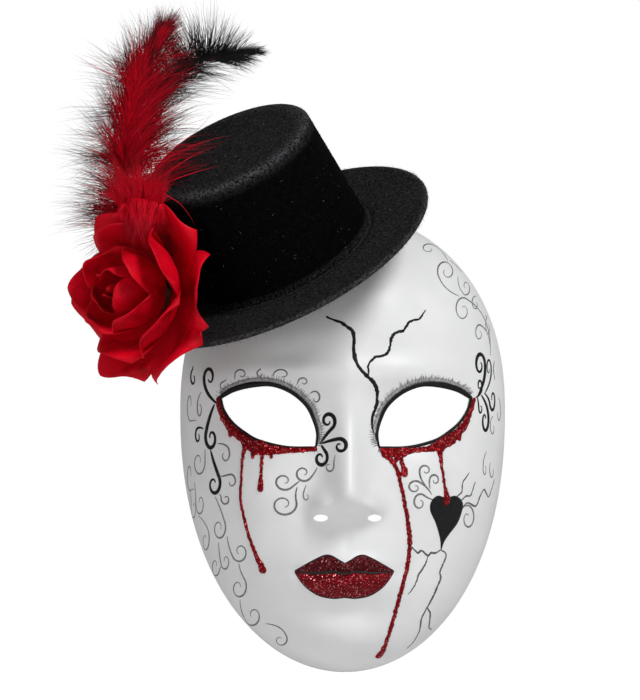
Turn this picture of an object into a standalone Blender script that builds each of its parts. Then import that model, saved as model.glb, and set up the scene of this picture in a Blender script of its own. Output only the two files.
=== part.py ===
"""Venetian masquerade mask with a miniature felt top hat, a velvet rose and marabou feathers.

Metres, +Z up, +X to the viewer's right. The face looks along -Y. The origin is on the centre
line at eye height, on the plane of the rearmost rim at the temples. Nothing on the mask moves:
the hat, rose, feathers and strap anchors are all glued to the moulded shell.
"""
import math

import bmesh
import bpy
import numpy as np
from mathutils import Matrix, Vector

MM = 0.001
GAP = 0.3 * MM                  # clearance between pieces that touch

# ---------- mask shell ----------
HALF_WIDTH = 82 * MM            # half of the face's width at its widest
WIDEST_Z = 5 * MM               # height of the widest place
TOP_REACH = 100 * MM            # from the widest place up to the top of the forehead
CHIN_REACH = 131 * MM           # from the widest place down to the chin
CROWN_EXPONENT = 2.3            # roundness of the outline above the widest place
JAW_EXPONENT = 2.2              # and below it
DOME_DEPTH = 62 * MM            # rim to cheek plane, without the relief
DOME_EXPONENT = 0.52
TOP_SETBACK = 4 * MM            # how far forward of the temples the rim runs at the top
CHIN_SETBACK = 28 * MM          # and at the chin
SHELL_WALL = 1.5 * MM
SHELL_CELLS = 32                # cells along each side of the shell's grid
CUT_FRONT = -130 * MM           # how far a straight cut reaches, before and behind the face
CUT_BACK = 20 * MM
FORM_BACK = 30 * MM             # the flat back of the blocks that trim

# smooth swellings and hollows of the face: x, z, half-width, half-height, height, mirrored
RELIEF = (
    (0, 62, 46, 30, 4.0, False),        # forehead
    (33, 1, 22, 13, -7.0, True),        # eye socket
    (33, 24, 24, 7, 3.5, True),         # brow
    (0, 22, 14, 10, 2.0, False),        # root of the nose
    (44, -34, 22, 20, 5.0, True),       # cheek
    (0, -78, 30, 20, 7.0, False),       # mouth
    (0, -96, 18, 6, -3.0, False),       # fold under the lower lip
    (0, -112, 20, 12, 9.0, False),      # chin
    (64, 30, 14, 26, -3.0, True),       # temple
    (13, -43, 6, 6.5, 8.0, True),       # wing of the nose
    (0, -71.5, 19, 3.6, 3.0, False),    # upper lip
    (0, -81.5, 17, 4.8, 3.4, False),    # lower lip
)
NOSE_ROOT_Z = 14 * MM
NOSE_TIP_Z = -37 * MM
NOSE_BASE_Z = -46 * MM
NOSE_ROOT_RISE = 3 * MM
NOSE_TIP_RISE = 22 * MM
NOSE_HALF_WIDTH = 7 * MM

# openings, on the viewer's right; the left ones mirror them (millimetres: x, z)
EYE_UPPER_LID = ((16, -13.5), (15.5, -7), (17.5, 0), (21, 6.5), (28, 12.5), (37, 16),
                 (46, 15.8), (55, 13.8), (61.5, 10.5))
EYE_LOWER_LID = ((61.5, 10.5), (60, 5), (56, -1), (50, -6), (43, -10), (30, -13.2),
                 (16, -13.5))
NOSTRIL_CENTRE = (13.3, -49)
NOSTRIL_HALF_SIZE = (3.5, 1.7)

# ---------- glitter, millimetres: x, z, width ----------
GLITTER_THICKNESS = 1.0 * MM
TEAR_BAND = ((64.4, 9.5, 3), (62.8, 3, 4), (58.6, -4, 4.6), (52, -9.6, 5), (44, -13.6, 4.6),
             (30, -16.4, 4), (17, -16.4, 3.4))
LEFT_LONG_TEAR = ((-50.2, -11, 3), (-52.2, -30, 2.2), (-52.5, -40, 2.2), (-50.2, -51.5, 2.2),
                  (-46.7, -63, 2.4), (-43.7, -70, 3), (-41.2, -75, 4))
LEFT_SHORT_TEAR = ((-42, -13, 3), (-42.4, -24, 2.2), (-42.7, -31, 3), (-43, -34.5, 3.4))
HEART_TEAR = ((46.3, -13, 3), (47.8, -26, 2.4), (49.3, -36, 3.2), (49.8, -40, 4))
RIGHT_SHORT_TEAR = ((25.4, -16, 3), (27.2, -22, 2.6), (28.5, -27.5, 4))
RIGHT_LONG_TEAR = ((18, -17, 3.4), (21.5, -20, 3), (24.5, -25, 2.6), (27, -35, 2.6),
                   (29.4, -47.5, 2.8), (31, -60, 3), (29.5, -74, 3), (26, -88, 3),
                   (22.6, -101, 3), (18.8, -113, 3.4), (16.4, -117, 4.2))
LIP_SHIFT = -1.5                # the lip coat sits a little to the viewer's left
UPPER_LIP = ((25, -75.2), (18, -71.5), (9.2, -67.6), (4, -69.3), (0, -71.3))
LOWER_LIP = ((25, -76.2), (19, -82), (12, -86.5), (0, -88.3))
MOUTH_LINE = ((25, -75.7), (14, -76.2), (6, -75.4), (0, -76.4))
LIP_PARTING = 0.35              # half of the bare line between the two coats

# ---------- top hat ----------
HAT_SEAT = Vector((-32, -40, 79.5)) * MM    # centre of the brim's underside
HAT_AXIS = Vector((-0.4195, -0.406, 0.8125)).normalized()
BRIM_RADIUS = 80.5 * MM
BRIM_HOLE = 46.3 * MM
FELT = 2.4 * MM                 # brim thickness
BRIM_DISH = 1.2 * MM            # how far the brim's edge turns up
CROWN_WALL = 1.6 * MM
CROWN_BASE_RADIUS = 48.5 * MM
CROWN_TOP_RADIUS = 43.5 * MM
CROWN_HEIGHT = 66 * MM          # from the brim's underside
CROWN_ROUNDING = 3 * MM
HAT_SIDES = 48
GLUE_RADIUS = 5 * MM
GLUE_LENGTH = 18 * MM           # before it is trimmed to the face
GLUE_FLARE = 1.1
BRIM_FLAT = 14 * MM             # level part of the brim next to the crown
GLUE_SPOTS = ((52, 44), (52, 22), (52, 150))    # distance from the axis, degrees round it

# ---------- rose ----------
ROSE_BASE = Vector((-94, -73, 62)) * MM
ROSE_AXIS = Vector((-0.75, -0.66, 0.02)).normalized()
BUD_RADIUS = 4.6 * MM
BUD_HEIGHT = 37 * MM
PETAL_THICKNESS = 0.8 * MM
PETAL_CELLS = 5
PETAL_SHARE = 0.94              # of the room a petal has round its ring
PETAL_POINT = 0.16              # how far a petal's sides fall short of its tip
PETAL_WAIST = 0.78              # width at root and tip against the middle
# petals in the ring, then the ring's profile as a curve: distance from the axis, height
PETAL_RINGS = (
    (3, ((6.8, 5), (12.5, 14), (12, 27), (8.5, 38)), 0.0),
    (4, ((8.4, 2.6), (18, 7), (21, 24), (16.5, 38)), 0.5),
    (5, ((10.0, 0.2), (27, 1), (31, 18), (29, 33)), 0.2),
    (6, ((11.6, -2.2), (34, -4), (41, 8), (45, 20)), 0.55),
)
CALYX_RADIUS = 10 * MM
CALYX_DEPTH = 9 * MM
CALYX_BACK = CALYX_DEPTH + 1 * MM
ROSE_DAB_RADIUS = 5 * MM
ROSE_DAB_LENGTH = 22 * MM       # from the calyx towards the crown, before it is trimmed
ROSE_DAB_WAY = Vector((0.75, 0.38, 0.47)).normalized()

# ---------- feathers, millimetres: x, y, z, half-width across the vane ----------
RED_PLUME = ((-85.8, -55.2, 79.3, 2), (-98, -53, 85, 2.4), (-106, -51, 92, 3),
             (-107, -52, 104, 3.4), (-107.5, -58, 115, 4), (-106, -72, 124, 12),
             (-102, -78, 137, 25), (-99, -80.5, 152, 36), (-96, -81.5, 166, 36),
             (-90, -81.5, 182, 25), (-84, -81.5, 196, 12), (-80, -81.5, 205, 3))
BLACK_PLUME = ((-88.5, -47.4, 85.9, 1.8), (-97.5, -45.5, 90.5, 2.2), (-104, -43, 97, 2.6),
               (-108, -47, 114, 3), (-102, -56, 134, 10), (-85, -64, 152, 19),
               (-70, -66, 166, 20), (-57, -67, 178, 15), (-46, -68, 185, 8), (-39, -68, 189, 3))
PLUME_HALF_THICKNESS = 7 * MM
PLUME_THINNEST = 0.25           # of that thickness, where the vane is narrowest
PLUME_SIDES = 12

# ---------- strap anchors ----------
ANCHOR_CENTRE = Vector((73, -22, 16)) * MM
ANCHOR_LENGTH = 20 * MM         # along Z
ANCHOR_DEPTH = 9 * MM           # along Y
ANCHOR_FACE_X = 66.5 * MM       # the flat inner face
ANCHOR_SLOT = (3 * MM, 12 * MM)
ANCHOR_BAR = 1.8 * MM           # bar between the slot and the flat face
ANCHOR_REACH = 12 * MM          # outward from the centre, before it is trimmed to the shell


# ---------- general helpers ----------
def material(name, colour, roughness, metallic=0.0):
    mat = bpy.data.materials.new(name)
    mat.use_nodes = True
    shader = mat.node_tree.nodes["Principled BSDF"]
    shader.inputs["Base Color"].default_value = (*colour, 1.0)
    shader.inputs["Roughness"].default_value = roughness
    shader.inputs["Metallic"].default_value = metallic
    mat.diffuse_color = (*colour, 1.0)
    return mat


def add_mesh(name, points, faces, mat=None, smooth=True):
    mesh = bpy.data.meshes.new(name)
    mesh.from_pydata([tuple(p) for p in points], [], faces)
    mesh.validate()
    obj = bpy.data.objects.new(name, mesh)
    bpy.context.scene.collection.objects.link(obj)
    if mat is not None:
        mesh.materials.append(mat)
    if smooth:
        mesh.shade_smooth()
    return obj


def make_cutter(obj):
    obj.hide_render = True
    obj.display_type = "WIRE"
    return obj


def boolean(obj, tool, operation):
    mod = obj.modifiers.new(operation.lower(), "BOOLEAN")
    mod.object = tool
    mod.operation = operation
    mod.solver = "EXACT"
    make_cutter(tool)


def smooth_through(points, steps=6):
    """A smooth open curve through a few points of any dimension."""
    pts = np.array(points, dtype=float)
    ext = np.vstack([2 * pts[0] - pts[1], pts, 2 * pts[-1] - pts[-2]])
    out = []
    for i in range(1, len(ext) - 2):
        a, b, c, d = ext[i - 1:i + 3]
        for k in range(steps):
            t = k / steps
            out.append(0.5 * (2 * b + (c - a) * t + (2 * a - 5 * b + 4 * c - d) * t * t
                              + (3 * b - 3 * c + d - a) * t ** 3))
    out.append(ext[-2])
    return np.array(out)


def prism(name, outline_mm, y_front=CUT_FRONT, y_back=CUT_BACK, x_shift=0.0):
    """A closed outline in X and Z, given in millimetres, drawn out along Y."""
    flat = [((x + x_shift) * MM, z * MM) for x, z in outline_mm]
    area = sum(x0 * z1 - x1 * z0 for (x0, z0), (x1, z1) in zip(flat, flat[1:] + flat[:1]))
    if area < 0:
        flat.reverse()
    n = len(flat)
    points = [(x, y_front, z) for x, z in flat] + [(x, y_back, z) for x, z in flat]
    faces = [list(range(n)), list(range(2 * n - 1, n - 1, -1))]
    faces += [[(i + 1) % n, i, n + i, n + (i + 1) % n] for i in range(n)]
    return make_cutter(add_mesh(name, points, faces, smooth=False))


# ---------- the face surface ----------
def outline_measure(x, z):
    """0 at the middle of the face, 1 on its outline."""
    up = z > WIDEST_Z
    r = np.where(up, (z - WIDEST_Z) / TOP_REACH, (WIDEST_Z - z) / CHIN_REACH)
    return (x / HALF_WIDTH) ** 2 + np.abs(r) ** np.where(up, CROWN_EXPONENT, JAW_EXPONENT)


def rim_setback(z):
    up = z > WIDEST_Z
    r = np.where(up, (z - WIDEST_Z) / TOP_REACH, (WIDEST_Z - z) / CHIN_REACH)
    return np.where(up, TOP_SETBACK, CHIN_SETBACK) * r ** 2


def relief(x, z):
    """Height of the moulded features above the plain dome."""
    total = np.zeros_like(x)
    for cx, cz, sx, sz, height, mirrored in RELIEF:
        for side in (1, -1) if mirrored else (1,):
            across = (x - side * cx * MM) / (sx * MM)
            along = (z - cz * MM) / (sz * MM)
            total = total + height * MM * np.exp(-across ** 2 - along ** 2)
    run = np.clip((NOSE_ROOT_Z - z) / (NOSE_ROOT_Z - NOSE_TIP_Z), 0, 1)
    ridge = NOSE_ROOT_RISE + (NOSE_TIP_RISE - NOSE_ROOT_RISE) * run ** 1.5
    underside = 1 / (1 + np.exp((NOSE_BASE_Z - z) / (2.6 * MM)))
    root_fade = 1 / (1 + np.exp((z - NOSE_ROOT_Z - 6 * MM) / (6 * MM)))
    width = NOSE_HALF_WIDTH * (1 + 0.5 * run)
    return total + ridge * underside * root_fade * np.exp(-(x / width) ** 2)


def face_y(x, z):
    inside = np.clip(1 - outline_measure(x, z), 0, 1)
    swell = DOME_DEPTH * inside ** DOME_EXPONENT + relief(x, z) * inside ** 0.5
    return -(rim_setback(z) + swell)


def face_grid(cells, lift=0.0):
    """Points over the whole face, from a square grid pressed into the outline, with no pole."""
    side = np.linspace(-1, 1, cells + 1)
    a, b = np.meshgrid(side, side)
    u = a * np.sqrt(1 - b * b / 2)
    v = b * np.sqrt(1 - a * a / 2)
    radius = np.clip(np.hypot(u, v), 1e-9, 1)
    spread = np.sin(radius * math.pi / 2) / radius
    u, v = u * spread, v * spread
    x = u * HALF_WIDTH
    z = WIDEST_Z + np.where(v > 0, TOP_REACH * np.abs(v) ** (2 / CROWN_EXPONENT),
                            -CHIN_REACH * np.abs(v) ** (2 / JAW_EXPONENT))
    points = np.stack([x, face_y(x, z), z], axis=-1)
    across = np.gradient(points, axis=1)
    along = np.gradient(points, axis=0)
    normals = np.cross(across, along)
    normals /= np.linalg.norm(normals, axis=-1, keepdims=True)
    return points + normals * lift


def grid_faces(rows, cols):
    """Triangles of a grid of points, split the same way everywhere."""
    corners = [(r * cols + c, r * cols + c + 1, (r + 1) * cols + c + 1, (r + 1) * cols + c)
               for r in range(rows - 1) for c in range(cols - 1)]
    return [half for a, b, c, d in corners for half in ([a, b, c], [a, c, d])]


def head_form(name, lift):
    """A solid block behind the face surface, raised by lift, that trims what lies on it."""
    n = SHELL_CELLS + 1
    points = [Vector(p) for p in face_grid(SHELL_CELLS, lift).reshape(-1, 3)]
    faces = grid_faces(n, n)
    rim = ([c for c in range(n)] + [r * n + n - 1 for r in range(1, n)]
           + [(n - 1) * n + c for c in range(n - 2, -1, -1)] + [r * n for r in range(n - 2, 0, -1)])
    back = len(points)
    points += [Vector((points[i].x, FORM_BACK, points[i].z)) for i in rim]
    m = len(rim)
    faces += [[rim[(i + 1) % m], rim[i], back + i, back + (i + 1) % m] for i in range(m)]
    faces.append([back + i for i in range(m - 1, -1, -1)])
    form = add_mesh(name, points, faces, smooth=False)
    bm = bmesh.new()
    bm.from_mesh(form.data)
    bmesh.ops.recalc_face_normals(bm, faces=bm.faces)
    bm.to_mesh(form.data)
    bm.free()
    return make_cutter(form)


# ---------- mask shell and what is coated on it ----------
def eye_outline(side):
    upper = smooth_through(EYE_UPPER_LID, 3)
    lower = smooth_through(EYE_LOWER_LID, 3)
    return [(side * x, z) for x, z in np.vstack([upper[:-1], lower[:-1]])]


def nostril_outline(side):
    turn = [2 * math.pi * k / 12 for k in range(12)]
    cx, cz = NOSTRIL_CENTRE
    wide, tall = NOSTRIL_HALF_SIZE
    return [(side * (cx + wide * math.cos(t)), cz + tall * math.sin(t)) for t in turn]


def build_shell(mat):
    n = SHELL_CELLS + 1
    shell = add_mesh("mask_shell", face_grid(SHELL_CELLS).reshape(-1, 3), grid_faces(n, n), mat)
    wall = shell.modifiers.new("wall", "SOLIDIFY")
    wall.thickness = SHELL_WALL
    wall.offset = -1.0
    for side, word in ((-1, "left"), (1, "right")):
        boolean(shell, prism("cut_eye_" + word, eye_outline(side)), "DIFFERENCE")
        boolean(shell, prism("cut_nostril_" + word, nostril_outline(side)), "DIFFERENCE")
    return shell


def stroke_outline(spine):
    """Outline of a brush-like stroke: x, z and full width at each point, with a round end."""
    line = smooth_through(spine, 3)
    centre, half = line[:, :2], line[:, 2] / 2
    run = np.gradient(centre, axis=0)
    run /= np.linalg.norm(run, axis=1, keepdims=True)
    side = np.stack([-run[:, 1], run[:, 0]], axis=1)
    left = centre + side * half[:, None]
    right = centre - side * half[:, None]
    cap = [centre[-1] + half[-1] * (run[-1] * math.sin(t) + side[-1] * math.cos(t))
           for t in (math.pi / 4, math.pi / 2, 3 * math.pi / 4)]
    return [tuple(p) for p in np.vstack([left, cap, right[::-1]])]


def coat(name, outlines, mat, under, over, x_shift=0.0):
    """A thin skin over the face: its outlines drawn along Y and kept between two forms."""
    skin = prism(name, outlines[0], x_shift=x_shift)
    for k, outline in enumerate(outlines[1:]):
        boolean(skin, prism("%s_add_%d" % (name, k), outline, x_shift=x_shift), "UNION")
    boolean(skin, over, "INTERSECT")
    boolean(skin, under, "DIFFERENCE")
    skin.hide_render = False
    skin.display_type = "TEXTURED"
    skin.data.materials.append(mat)
    return skin


def build_glitter(tear_mat, lip_mat, under, over):
    mirrored_band = [(-x, z, w) for x, z, w in TEAR_BAND]
    left = [stroke_outline(s) for s in (mirrored_band, LEFT_LONG_TEAR, LEFT_SHORT_TEAR)]
    right = [stroke_outline(s) for s in (TEAR_BAND, HEART_TEAR, RIGHT_SHORT_TEAR,
                                         RIGHT_LONG_TEAR)]
    coat("glitter_tears_left", left, tear_mat, under, over)
    coat("glitter_tears_right", right, tear_mat, under, over)
    mouth = smooth_through(MOUTH_LINE, 2)
    for name, edge, drop in (("upper_lip_glitter", UPPER_LIP, LIP_PARTING),
                             ("lower_lip_glitter", LOWER_LIP, -LIP_PARTING)):
        outer = smooth_through(edge, 2)
        inner = mouth + np.array([0.0, drop])
        loop = [tuple(p) for p in outer] + [(-x, z) for x, z in outer[::-1][1:]]
        loop += [(-x, z) for x, z in inner[1:]] + [tuple(p) for p in inner[::-1][1:-1]]
        coat(name, [loop], lip_mat, under, over, x_shift=LIP_SHIFT)


# ---------- turned and hat pieces ----------
def frame_on(origin, axis, towards=Vector((1, 0, 0))):
    """Matrix whose Z is axis and whose X leans towards the given direction."""
    z = axis.normalized()
    x = (towards - z * towards.dot(z)).normalized()
    y = z.cross(x)
    return Matrix.Translation(origin) @ Matrix((x, y, z)).transposed().to_4x4()


def turned(name, profile, sides, place, mat, closed):
    """A profile of (radius, height) turned all the way round its own Z axis."""
    bm = bmesh.new()
    verts = [bm.verts.new((r, 0, h)) for r, h in profile]
    pairs = list(zip(verts, verts[1:])) + ([(verts[-1], verts[0])] if closed else [])
    edges = [bm.edges.new(p) for p in pairs]
    bmesh.ops.spin(bm, geom=verts + edges, axis=(0, 0, 1), cent=(0, 0, 0),
                   angle=2 * math.pi, steps=sides, use_merge=True)
    bmesh.ops.remove_doubles(bm, verts=bm.verts, dist=0.01 * MM)
    bmesh.ops.recalc_face_normals(bm, faces=bm.faces)
    mesh = bpy.data.meshes.new(name)
    bm.to_mesh(mesh)
    bm.free()
    mesh.transform(place)
    obj = bpy.data.objects.new(name, mesh)
    bpy.context.scene.collection.objects.link(obj)
    mesh.materials.append(mat)
    mesh.shade_smooth()
    mesh.set_sharp_from_angle(angle=math.radians(40))
    return obj


def arc(cx, cy, radius, start, end, steps):
    angles = [math.radians(start + (end - start) * k / steps) for k in range(steps + 1)]
    return [(cx + radius * math.cos(t), cy + radius * math.sin(t)) for t in angles]


def build_hat(felt, glue, under):
    place = frame_on(HAT_SEAT, HAT_AXIS)
    edge = FELT / 2
    lip = BRIM_RADIUS - edge
    brim = ([(BRIM_HOLE, 0), (BRIM_HOLE + BRIM_FLAT, 0), (lip, BRIM_DISH)]
            + arc(lip, edge + BRIM_DISH, edge, -60, 60, 2)
            + [(lip, FELT + BRIM_DISH), (BRIM_HOLE + BRIM_FLAT, FELT), (BRIM_HOLE, FELT)])
    turned("hat_brim", brim, HAT_SIDES, place, felt, True)
    low = FELT + GAP
    top = CROWN_HEIGHT
    shoulder = CROWN_TOP_RADIUS - CROWN_ROUNDING
    waist = (CROWN_BASE_RADIUS + CROWN_TOP_RADIUS) / 2
    crown = ([(0, top - CROWN_WALL), (CROWN_TOP_RADIUS - CROWN_WALL, top - CROWN_WALL),
              (waist - CROWN_WALL, top / 2), (CROWN_BASE_RADIUS - CROWN_WALL, low),
              (CROWN_BASE_RADIUS, low), (waist, top / 2)]
             + arc(shoulder, top - CROWN_ROUNDING, CROWN_ROUNDING, 0, 90, 3)
             + [(0, top)])
    turned("hat_crown", crown, HAT_SIDES, place, felt, False)
    clear = CROWN_BASE_RADIUS + GAP
    block = [(0, 0), (clear, 0), (clear, low),
             (CROWN_TOP_RADIUS + GAP, top), (0, top)]
    crown_form = make_cutter(turned("form_crown", block, HAT_SIDES, place, felt, False))
    back, wide = -CALYX_BACK - GAP, 2 * CALYX_RADIUS
    block = [(0, back), (wide, back), (wide, 0), (0, 0)]
    rose_place = frame_on(ROSE_BASE, ROSE_AXIS, Vector((0, 0, 1)))
    calyx_form = make_cutter(turned("form_calyx", block, 16, rose_place, felt, False))
    start = ROSE_BASE - ROSE_AXIS * (CALYX_BACK - ROSE_DAB_RADIUS)
    dab = [(0, 0), (ROSE_DAB_RADIUS, 0), (ROSE_DAB_RADIUS * GLUE_FLARE, ROSE_DAB_LENGTH),
           (0, ROSE_DAB_LENGTH)]
    blob = turned("rose_glue_dab", dab, 12, frame_on(start, ROSE_DAB_WAY), glue, False)
    boolean(blob, crown_form, "DIFFERENCE")
    boolean(blob, calyx_form, "DIFFERENCE")
    for k, (reach, turn) in enumerate(GLUE_SPOTS):
        spot = math.radians(turn)
        foot = place @ Vector((reach * MM * math.cos(spot), reach * MM * math.sin(spot), 0))
        inward = frame_on(foot - HAT_AXIS * GAP, -HAT_AXIS)
        dab = [(0, 0), (GLUE_RADIUS, 0), (GLUE_RADIUS * GLUE_FLARE, GLUE_LENGTH),
               (0, GLUE_LENGTH)]
        blob = turned("hat_glue_dab_%d" % (k + 1), dab, 12, inward, glue, False)
        boolean(blob, under, "DIFFERENCE")


# ---------- rose ----------
def bezier(points, t):
    a, b, c, d = (np.array(p, dtype=float) for p in points)
    s = 1 - t
    return a * s ** 3 + 3 * b * s * s * t + 3 * c * s * t * t + d * t ** 3


def build_petal(name, profile, middle, spread, place, mat):
    rows = cols = PETAL_CELLS
    points = []
    for i in range(rows + 1):
        for j in range(cols + 1):
            v = 2 * j / cols - 1
            t = (i / rows) * (1 - PETAL_POINT * v * v)
            r, h = bezier(profile, t)
            belly = PETAL_WAIST + (1 - PETAL_WAIST) * math.sin(math.pi * i / rows)
            turn = middle + spread * v * belly
            points.append(place @ Vector((r * math.cos(turn), r * math.sin(turn), h)))
    petal = add_mesh(name, points, grid_faces(rows + 1, cols + 1), mat)
    wall = petal.modifiers.new("thickness", "SOLIDIFY")
    wall.thickness = PETAL_THICKNESS
    wall.offset = 0.0
    return petal


def build_rose(velvet, deep, calyx_mat):
    place = frame_on(ROSE_BASE, ROSE_AXIS, Vector((0, 0, 1)))
    scaled = place @ Matrix.Scale(MM, 4)
    bud = [(0, 3 * MM), (BUD_RADIUS, 5 * MM), (BUD_RADIUS, 22 * MM), (BUD_RADIUS * 0.7, 32 * MM),
           (0, BUD_HEIGHT)]
    turned("rose_bud", bud, 16, place, deep, False)
    number = 0
    for count, profile, offset in PETAL_RINGS:
        spread = PETAL_SHARE * math.pi / count
        for k in range(count):
            number += 1
            middle = 2 * math.pi * (k + offset) / count
            build_petal("rose_petal_%02d" % number, profile, middle, spread, scaled, velvet)
    base = [(0, 2 * MM), (4 * MM, 2 * MM), (CALYX_RADIUS * 0.9, -4.4 * MM),
            (CALYX_RADIUS * 0.7, -CALYX_DEPTH), (0, -CALYX_BACK)]
    turned("rose_calyx", base, 16, place, calyx_mat, False)


# ---------- feathers ----------
def build_plume(name, spine, mat):
    """A soft flat solid round the whole vane, wide in the plane of view and thin along Y."""
    line = smooth_through(spine, 2) * MM
    centre, half = line[:, :3], line[:, 3]
    run = np.gradient(centre, axis=0)
    side = np.cross(run, (0.0, 1.0, 0.0))
    side /= np.linalg.norm(side, axis=1, keepdims=True)
    points, faces = [], []
    widest = half.max()
    for k in range(len(centre)):
        share = PLUME_THINNEST + (1 - PLUME_THINNEST) * (half[k] / widest) ** 0.5
        thick = PLUME_HALF_THICKNESS * share
        for j in range(PLUME_SIDES):
            turn = 2 * math.pi * j / PLUME_SIDES
            points.append(centre[k] + side[k] * half[k] * math.cos(turn)
                          + np.array((0.0, 1.0, 0.0)) * thick * math.sin(turn))
    for k in range(len(centre) - 1):
        for j in range(PLUME_SIDES):
            a, b = k * PLUME_SIDES + j, k * PLUME_SIDES + (j + 1) % PLUME_SIDES
            faces.append([a, b, b + PLUME_SIDES, a + PLUME_SIDES])
    faces.append(list(range(PLUME_SIDES - 1, -1, -1)))
    last = (len(centre) - 1) * PLUME_SIDES
    faces.append([last + j for j in range(PLUME_SIDES)])
    plume = add_mesh(name, points, faces, mat)
    bm = bmesh.new()
    bm.from_mesh(plume.data)
    bmesh.ops.recalc_face_normals(bm, faces=bm.faces)
    bm.to_mesh(plume.data)
    bm.free()
    return plume


# ---------- strap anchors ----------
def build_anchor(name, side, mat, inner_form):
    x0, x1 = ANCHOR_FACE_X, ANCHOR_CENTRE.x + ANCHOR_REACH
    y, z = ANCHOR_CENTRE.y, ANCHOR_CENTRE.z
    half_y, half_z = ANCHOR_DEPTH / 2, ANCHOR_LENGTH / 2
    outline = [(x0, z - half_z), (x1, z - half_z), (x1, z + half_z), (x0, z + half_z)]
    plate = prism(name, [(side * px / MM, pz / MM) for px, pz in outline],
                  y_front=y - half_y, y_back=y + half_y)
    slot_x, slot_z = ANCHOR_SLOT
    near, far = x0 + ANCHOR_BAR, x0 + ANCHOR_BAR + slot_x
    hole = [(near, z - slot_z / 2), (far, z - slot_z / 2), (far, z + slot_z / 2),
            (near, z + slot_z / 2)]
    cut = prism("cut_" + name, [(side * px / MM, pz / MM) for px, pz in hole],
                y_front=y - ANCHOR_DEPTH, y_back=y + ANCHOR_DEPTH)
    boolean(plate, inner_form, "INTERSECT")
    boolean(plate, cut, "DIFFERENCE")
    plate.hide_render = False
    plate.display_type = "TEXTURED"
    plate.data.materials.append(mat)
    return plate


def main():
    for obj in list(bpy.data.objects):
        bpy.data.objects.remove(obj, do_unlink=True)
    white = material("painted_shell", (0.86, 0.86, 0.85), 0.45)
    tear = material("red_glitter", (0.33, 0.01, 0.015), 0.35)
    lip = material("wine_glitter", (0.2, 0.012, 0.02), 0.3)
    felt = material("black_felt", (0.012, 0.012, 0.013), 0.95)
    glue = material("hot_melt", (0.75, 0.72, 0.62), 0.35)
    velvet = material("red_velvet", (0.5, 0.005, 0.01), 0.8)
    deep = material("red_velvet_dark", (0.3, 0.004, 0.008), 0.8)
    calyx_mat = material("calyx_plastic", (0.02, 0.09, 0.03), 0.5)
    red_down = material("red_down", (0.42, 0.004, 0.012), 0.85)
    black_down = material("black_down", (0.01, 0.01, 0.01), 0.85)
    anchor_mat = material("anchor_plastic", (0.8, 0.8, 0.79), 0.4)

    under = head_form("form_under", GAP)
    over = head_form("form_over", GAP + GLITTER_THICKNESS)
    inner = head_form("form_inner", -(SHELL_WALL + GAP))
    build_shell(white)
    build_glitter(tear, lip, under, over)
    build_hat(felt, glue, under)
    build_rose(velvet, deep, calyx_mat)
    build_plume("red_feather", RED_PLUME, red_down)
    build_plume("black_feather", BLACK_PLUME, black_down)
    build_anchor("strap_anchor_left", -1, anchor_mat, inner)
    build_anchor("strap_anchor_right", 1, anchor_mat, inner)


main()
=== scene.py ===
"""Looks of the venetian masquerade mask: painted shell, glitter, felt hat, velvet rose, marabou."""
import math
import random

import bpy
import numpy as np
from mathutils import Matrix, Vector


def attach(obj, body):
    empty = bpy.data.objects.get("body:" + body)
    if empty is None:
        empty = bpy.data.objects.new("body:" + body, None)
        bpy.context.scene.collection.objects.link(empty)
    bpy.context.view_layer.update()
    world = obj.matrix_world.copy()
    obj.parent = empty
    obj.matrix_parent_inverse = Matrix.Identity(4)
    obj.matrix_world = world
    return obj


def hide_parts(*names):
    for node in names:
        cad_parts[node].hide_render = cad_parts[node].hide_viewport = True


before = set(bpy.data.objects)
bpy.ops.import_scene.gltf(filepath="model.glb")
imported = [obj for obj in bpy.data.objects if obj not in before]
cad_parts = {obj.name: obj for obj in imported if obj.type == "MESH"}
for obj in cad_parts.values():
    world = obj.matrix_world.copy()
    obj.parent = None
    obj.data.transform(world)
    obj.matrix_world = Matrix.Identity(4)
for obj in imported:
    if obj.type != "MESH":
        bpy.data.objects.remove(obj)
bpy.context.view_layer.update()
bpy.context.scene.view_settings.view_transform = "Standard"
MM = 0.001

# ---------- mask shell, the same face surface as the frame's ----------
HALF_WIDTH = 82 * MM
WIDEST_Z = 5 * MM
TOP_REACH = 100 * MM
CHIN_REACH = 131 * MM
CROWN_EXPONENT = 2.3
JAW_EXPONENT = 2.2
DOME_DEPTH = 62 * MM
DOME_EXPONENT = 0.52
TOP_SETBACK = 4 * MM
CHIN_SETBACK = 28 * MM
SHELL_WALL = 1.5 * MM
SHELL_CELLS = 180
RELIEF = (
    (0, 62, 46, 30, 4.0, False),        # forehead
    (33, 1, 22, 13, -7.0, True),        # eye socket
    (33, 24, 24, 7, 3.5, True),         # brow
    (0, 22, 14, 10, 2.0, False),        # root of the nose
    (44, -34, 22, 20, 5.0, True),       # cheek
    (0, -78, 30, 20, 7.0, False),       # mouth
    (0, -96, 18, 6, -3.0, False),       # fold under the lower lip
    (0, -112, 20, 12, 9.0, False),      # chin
    (64, 30, 14, 26, -3.0, True),       # temple
    (13, -43, 6, 6.5, 8.0, True),       # wing of the nose
    (0, -71.5, 19, 3.6, 3.0, False),    # upper lip
    (0, -81.5, 17, 4.8, 3.4, False),    # lower lip
    (0, -60, 2.6, 5.5, -0.9, False),    # groove under the nose
    (0, -76, 22, 1.3, -0.8, False),     # line between the lips
    (25.5, -75.6, 3, 3, -0.8, True),    # corner of the mouth
)
NOSE_ROOT_Z = 14 * MM
NOSE_TIP_Z = -37 * MM
NOSE_BASE_Z = -46 * MM
NOSE_ROOT_RISE = 3 * MM
NOSE_TIP_RISE = 22 * MM
NOSE_HALF_WIDTH = 7 * MM
EYE_UPPER_LID = ((16, -13.5), (15.5, -7), (17.5, 0), (21, 6.5), (28, 12.5), (37, 16),
                 (46, 15.8), (55, 13.8), (61.5, 10.5))
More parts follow.
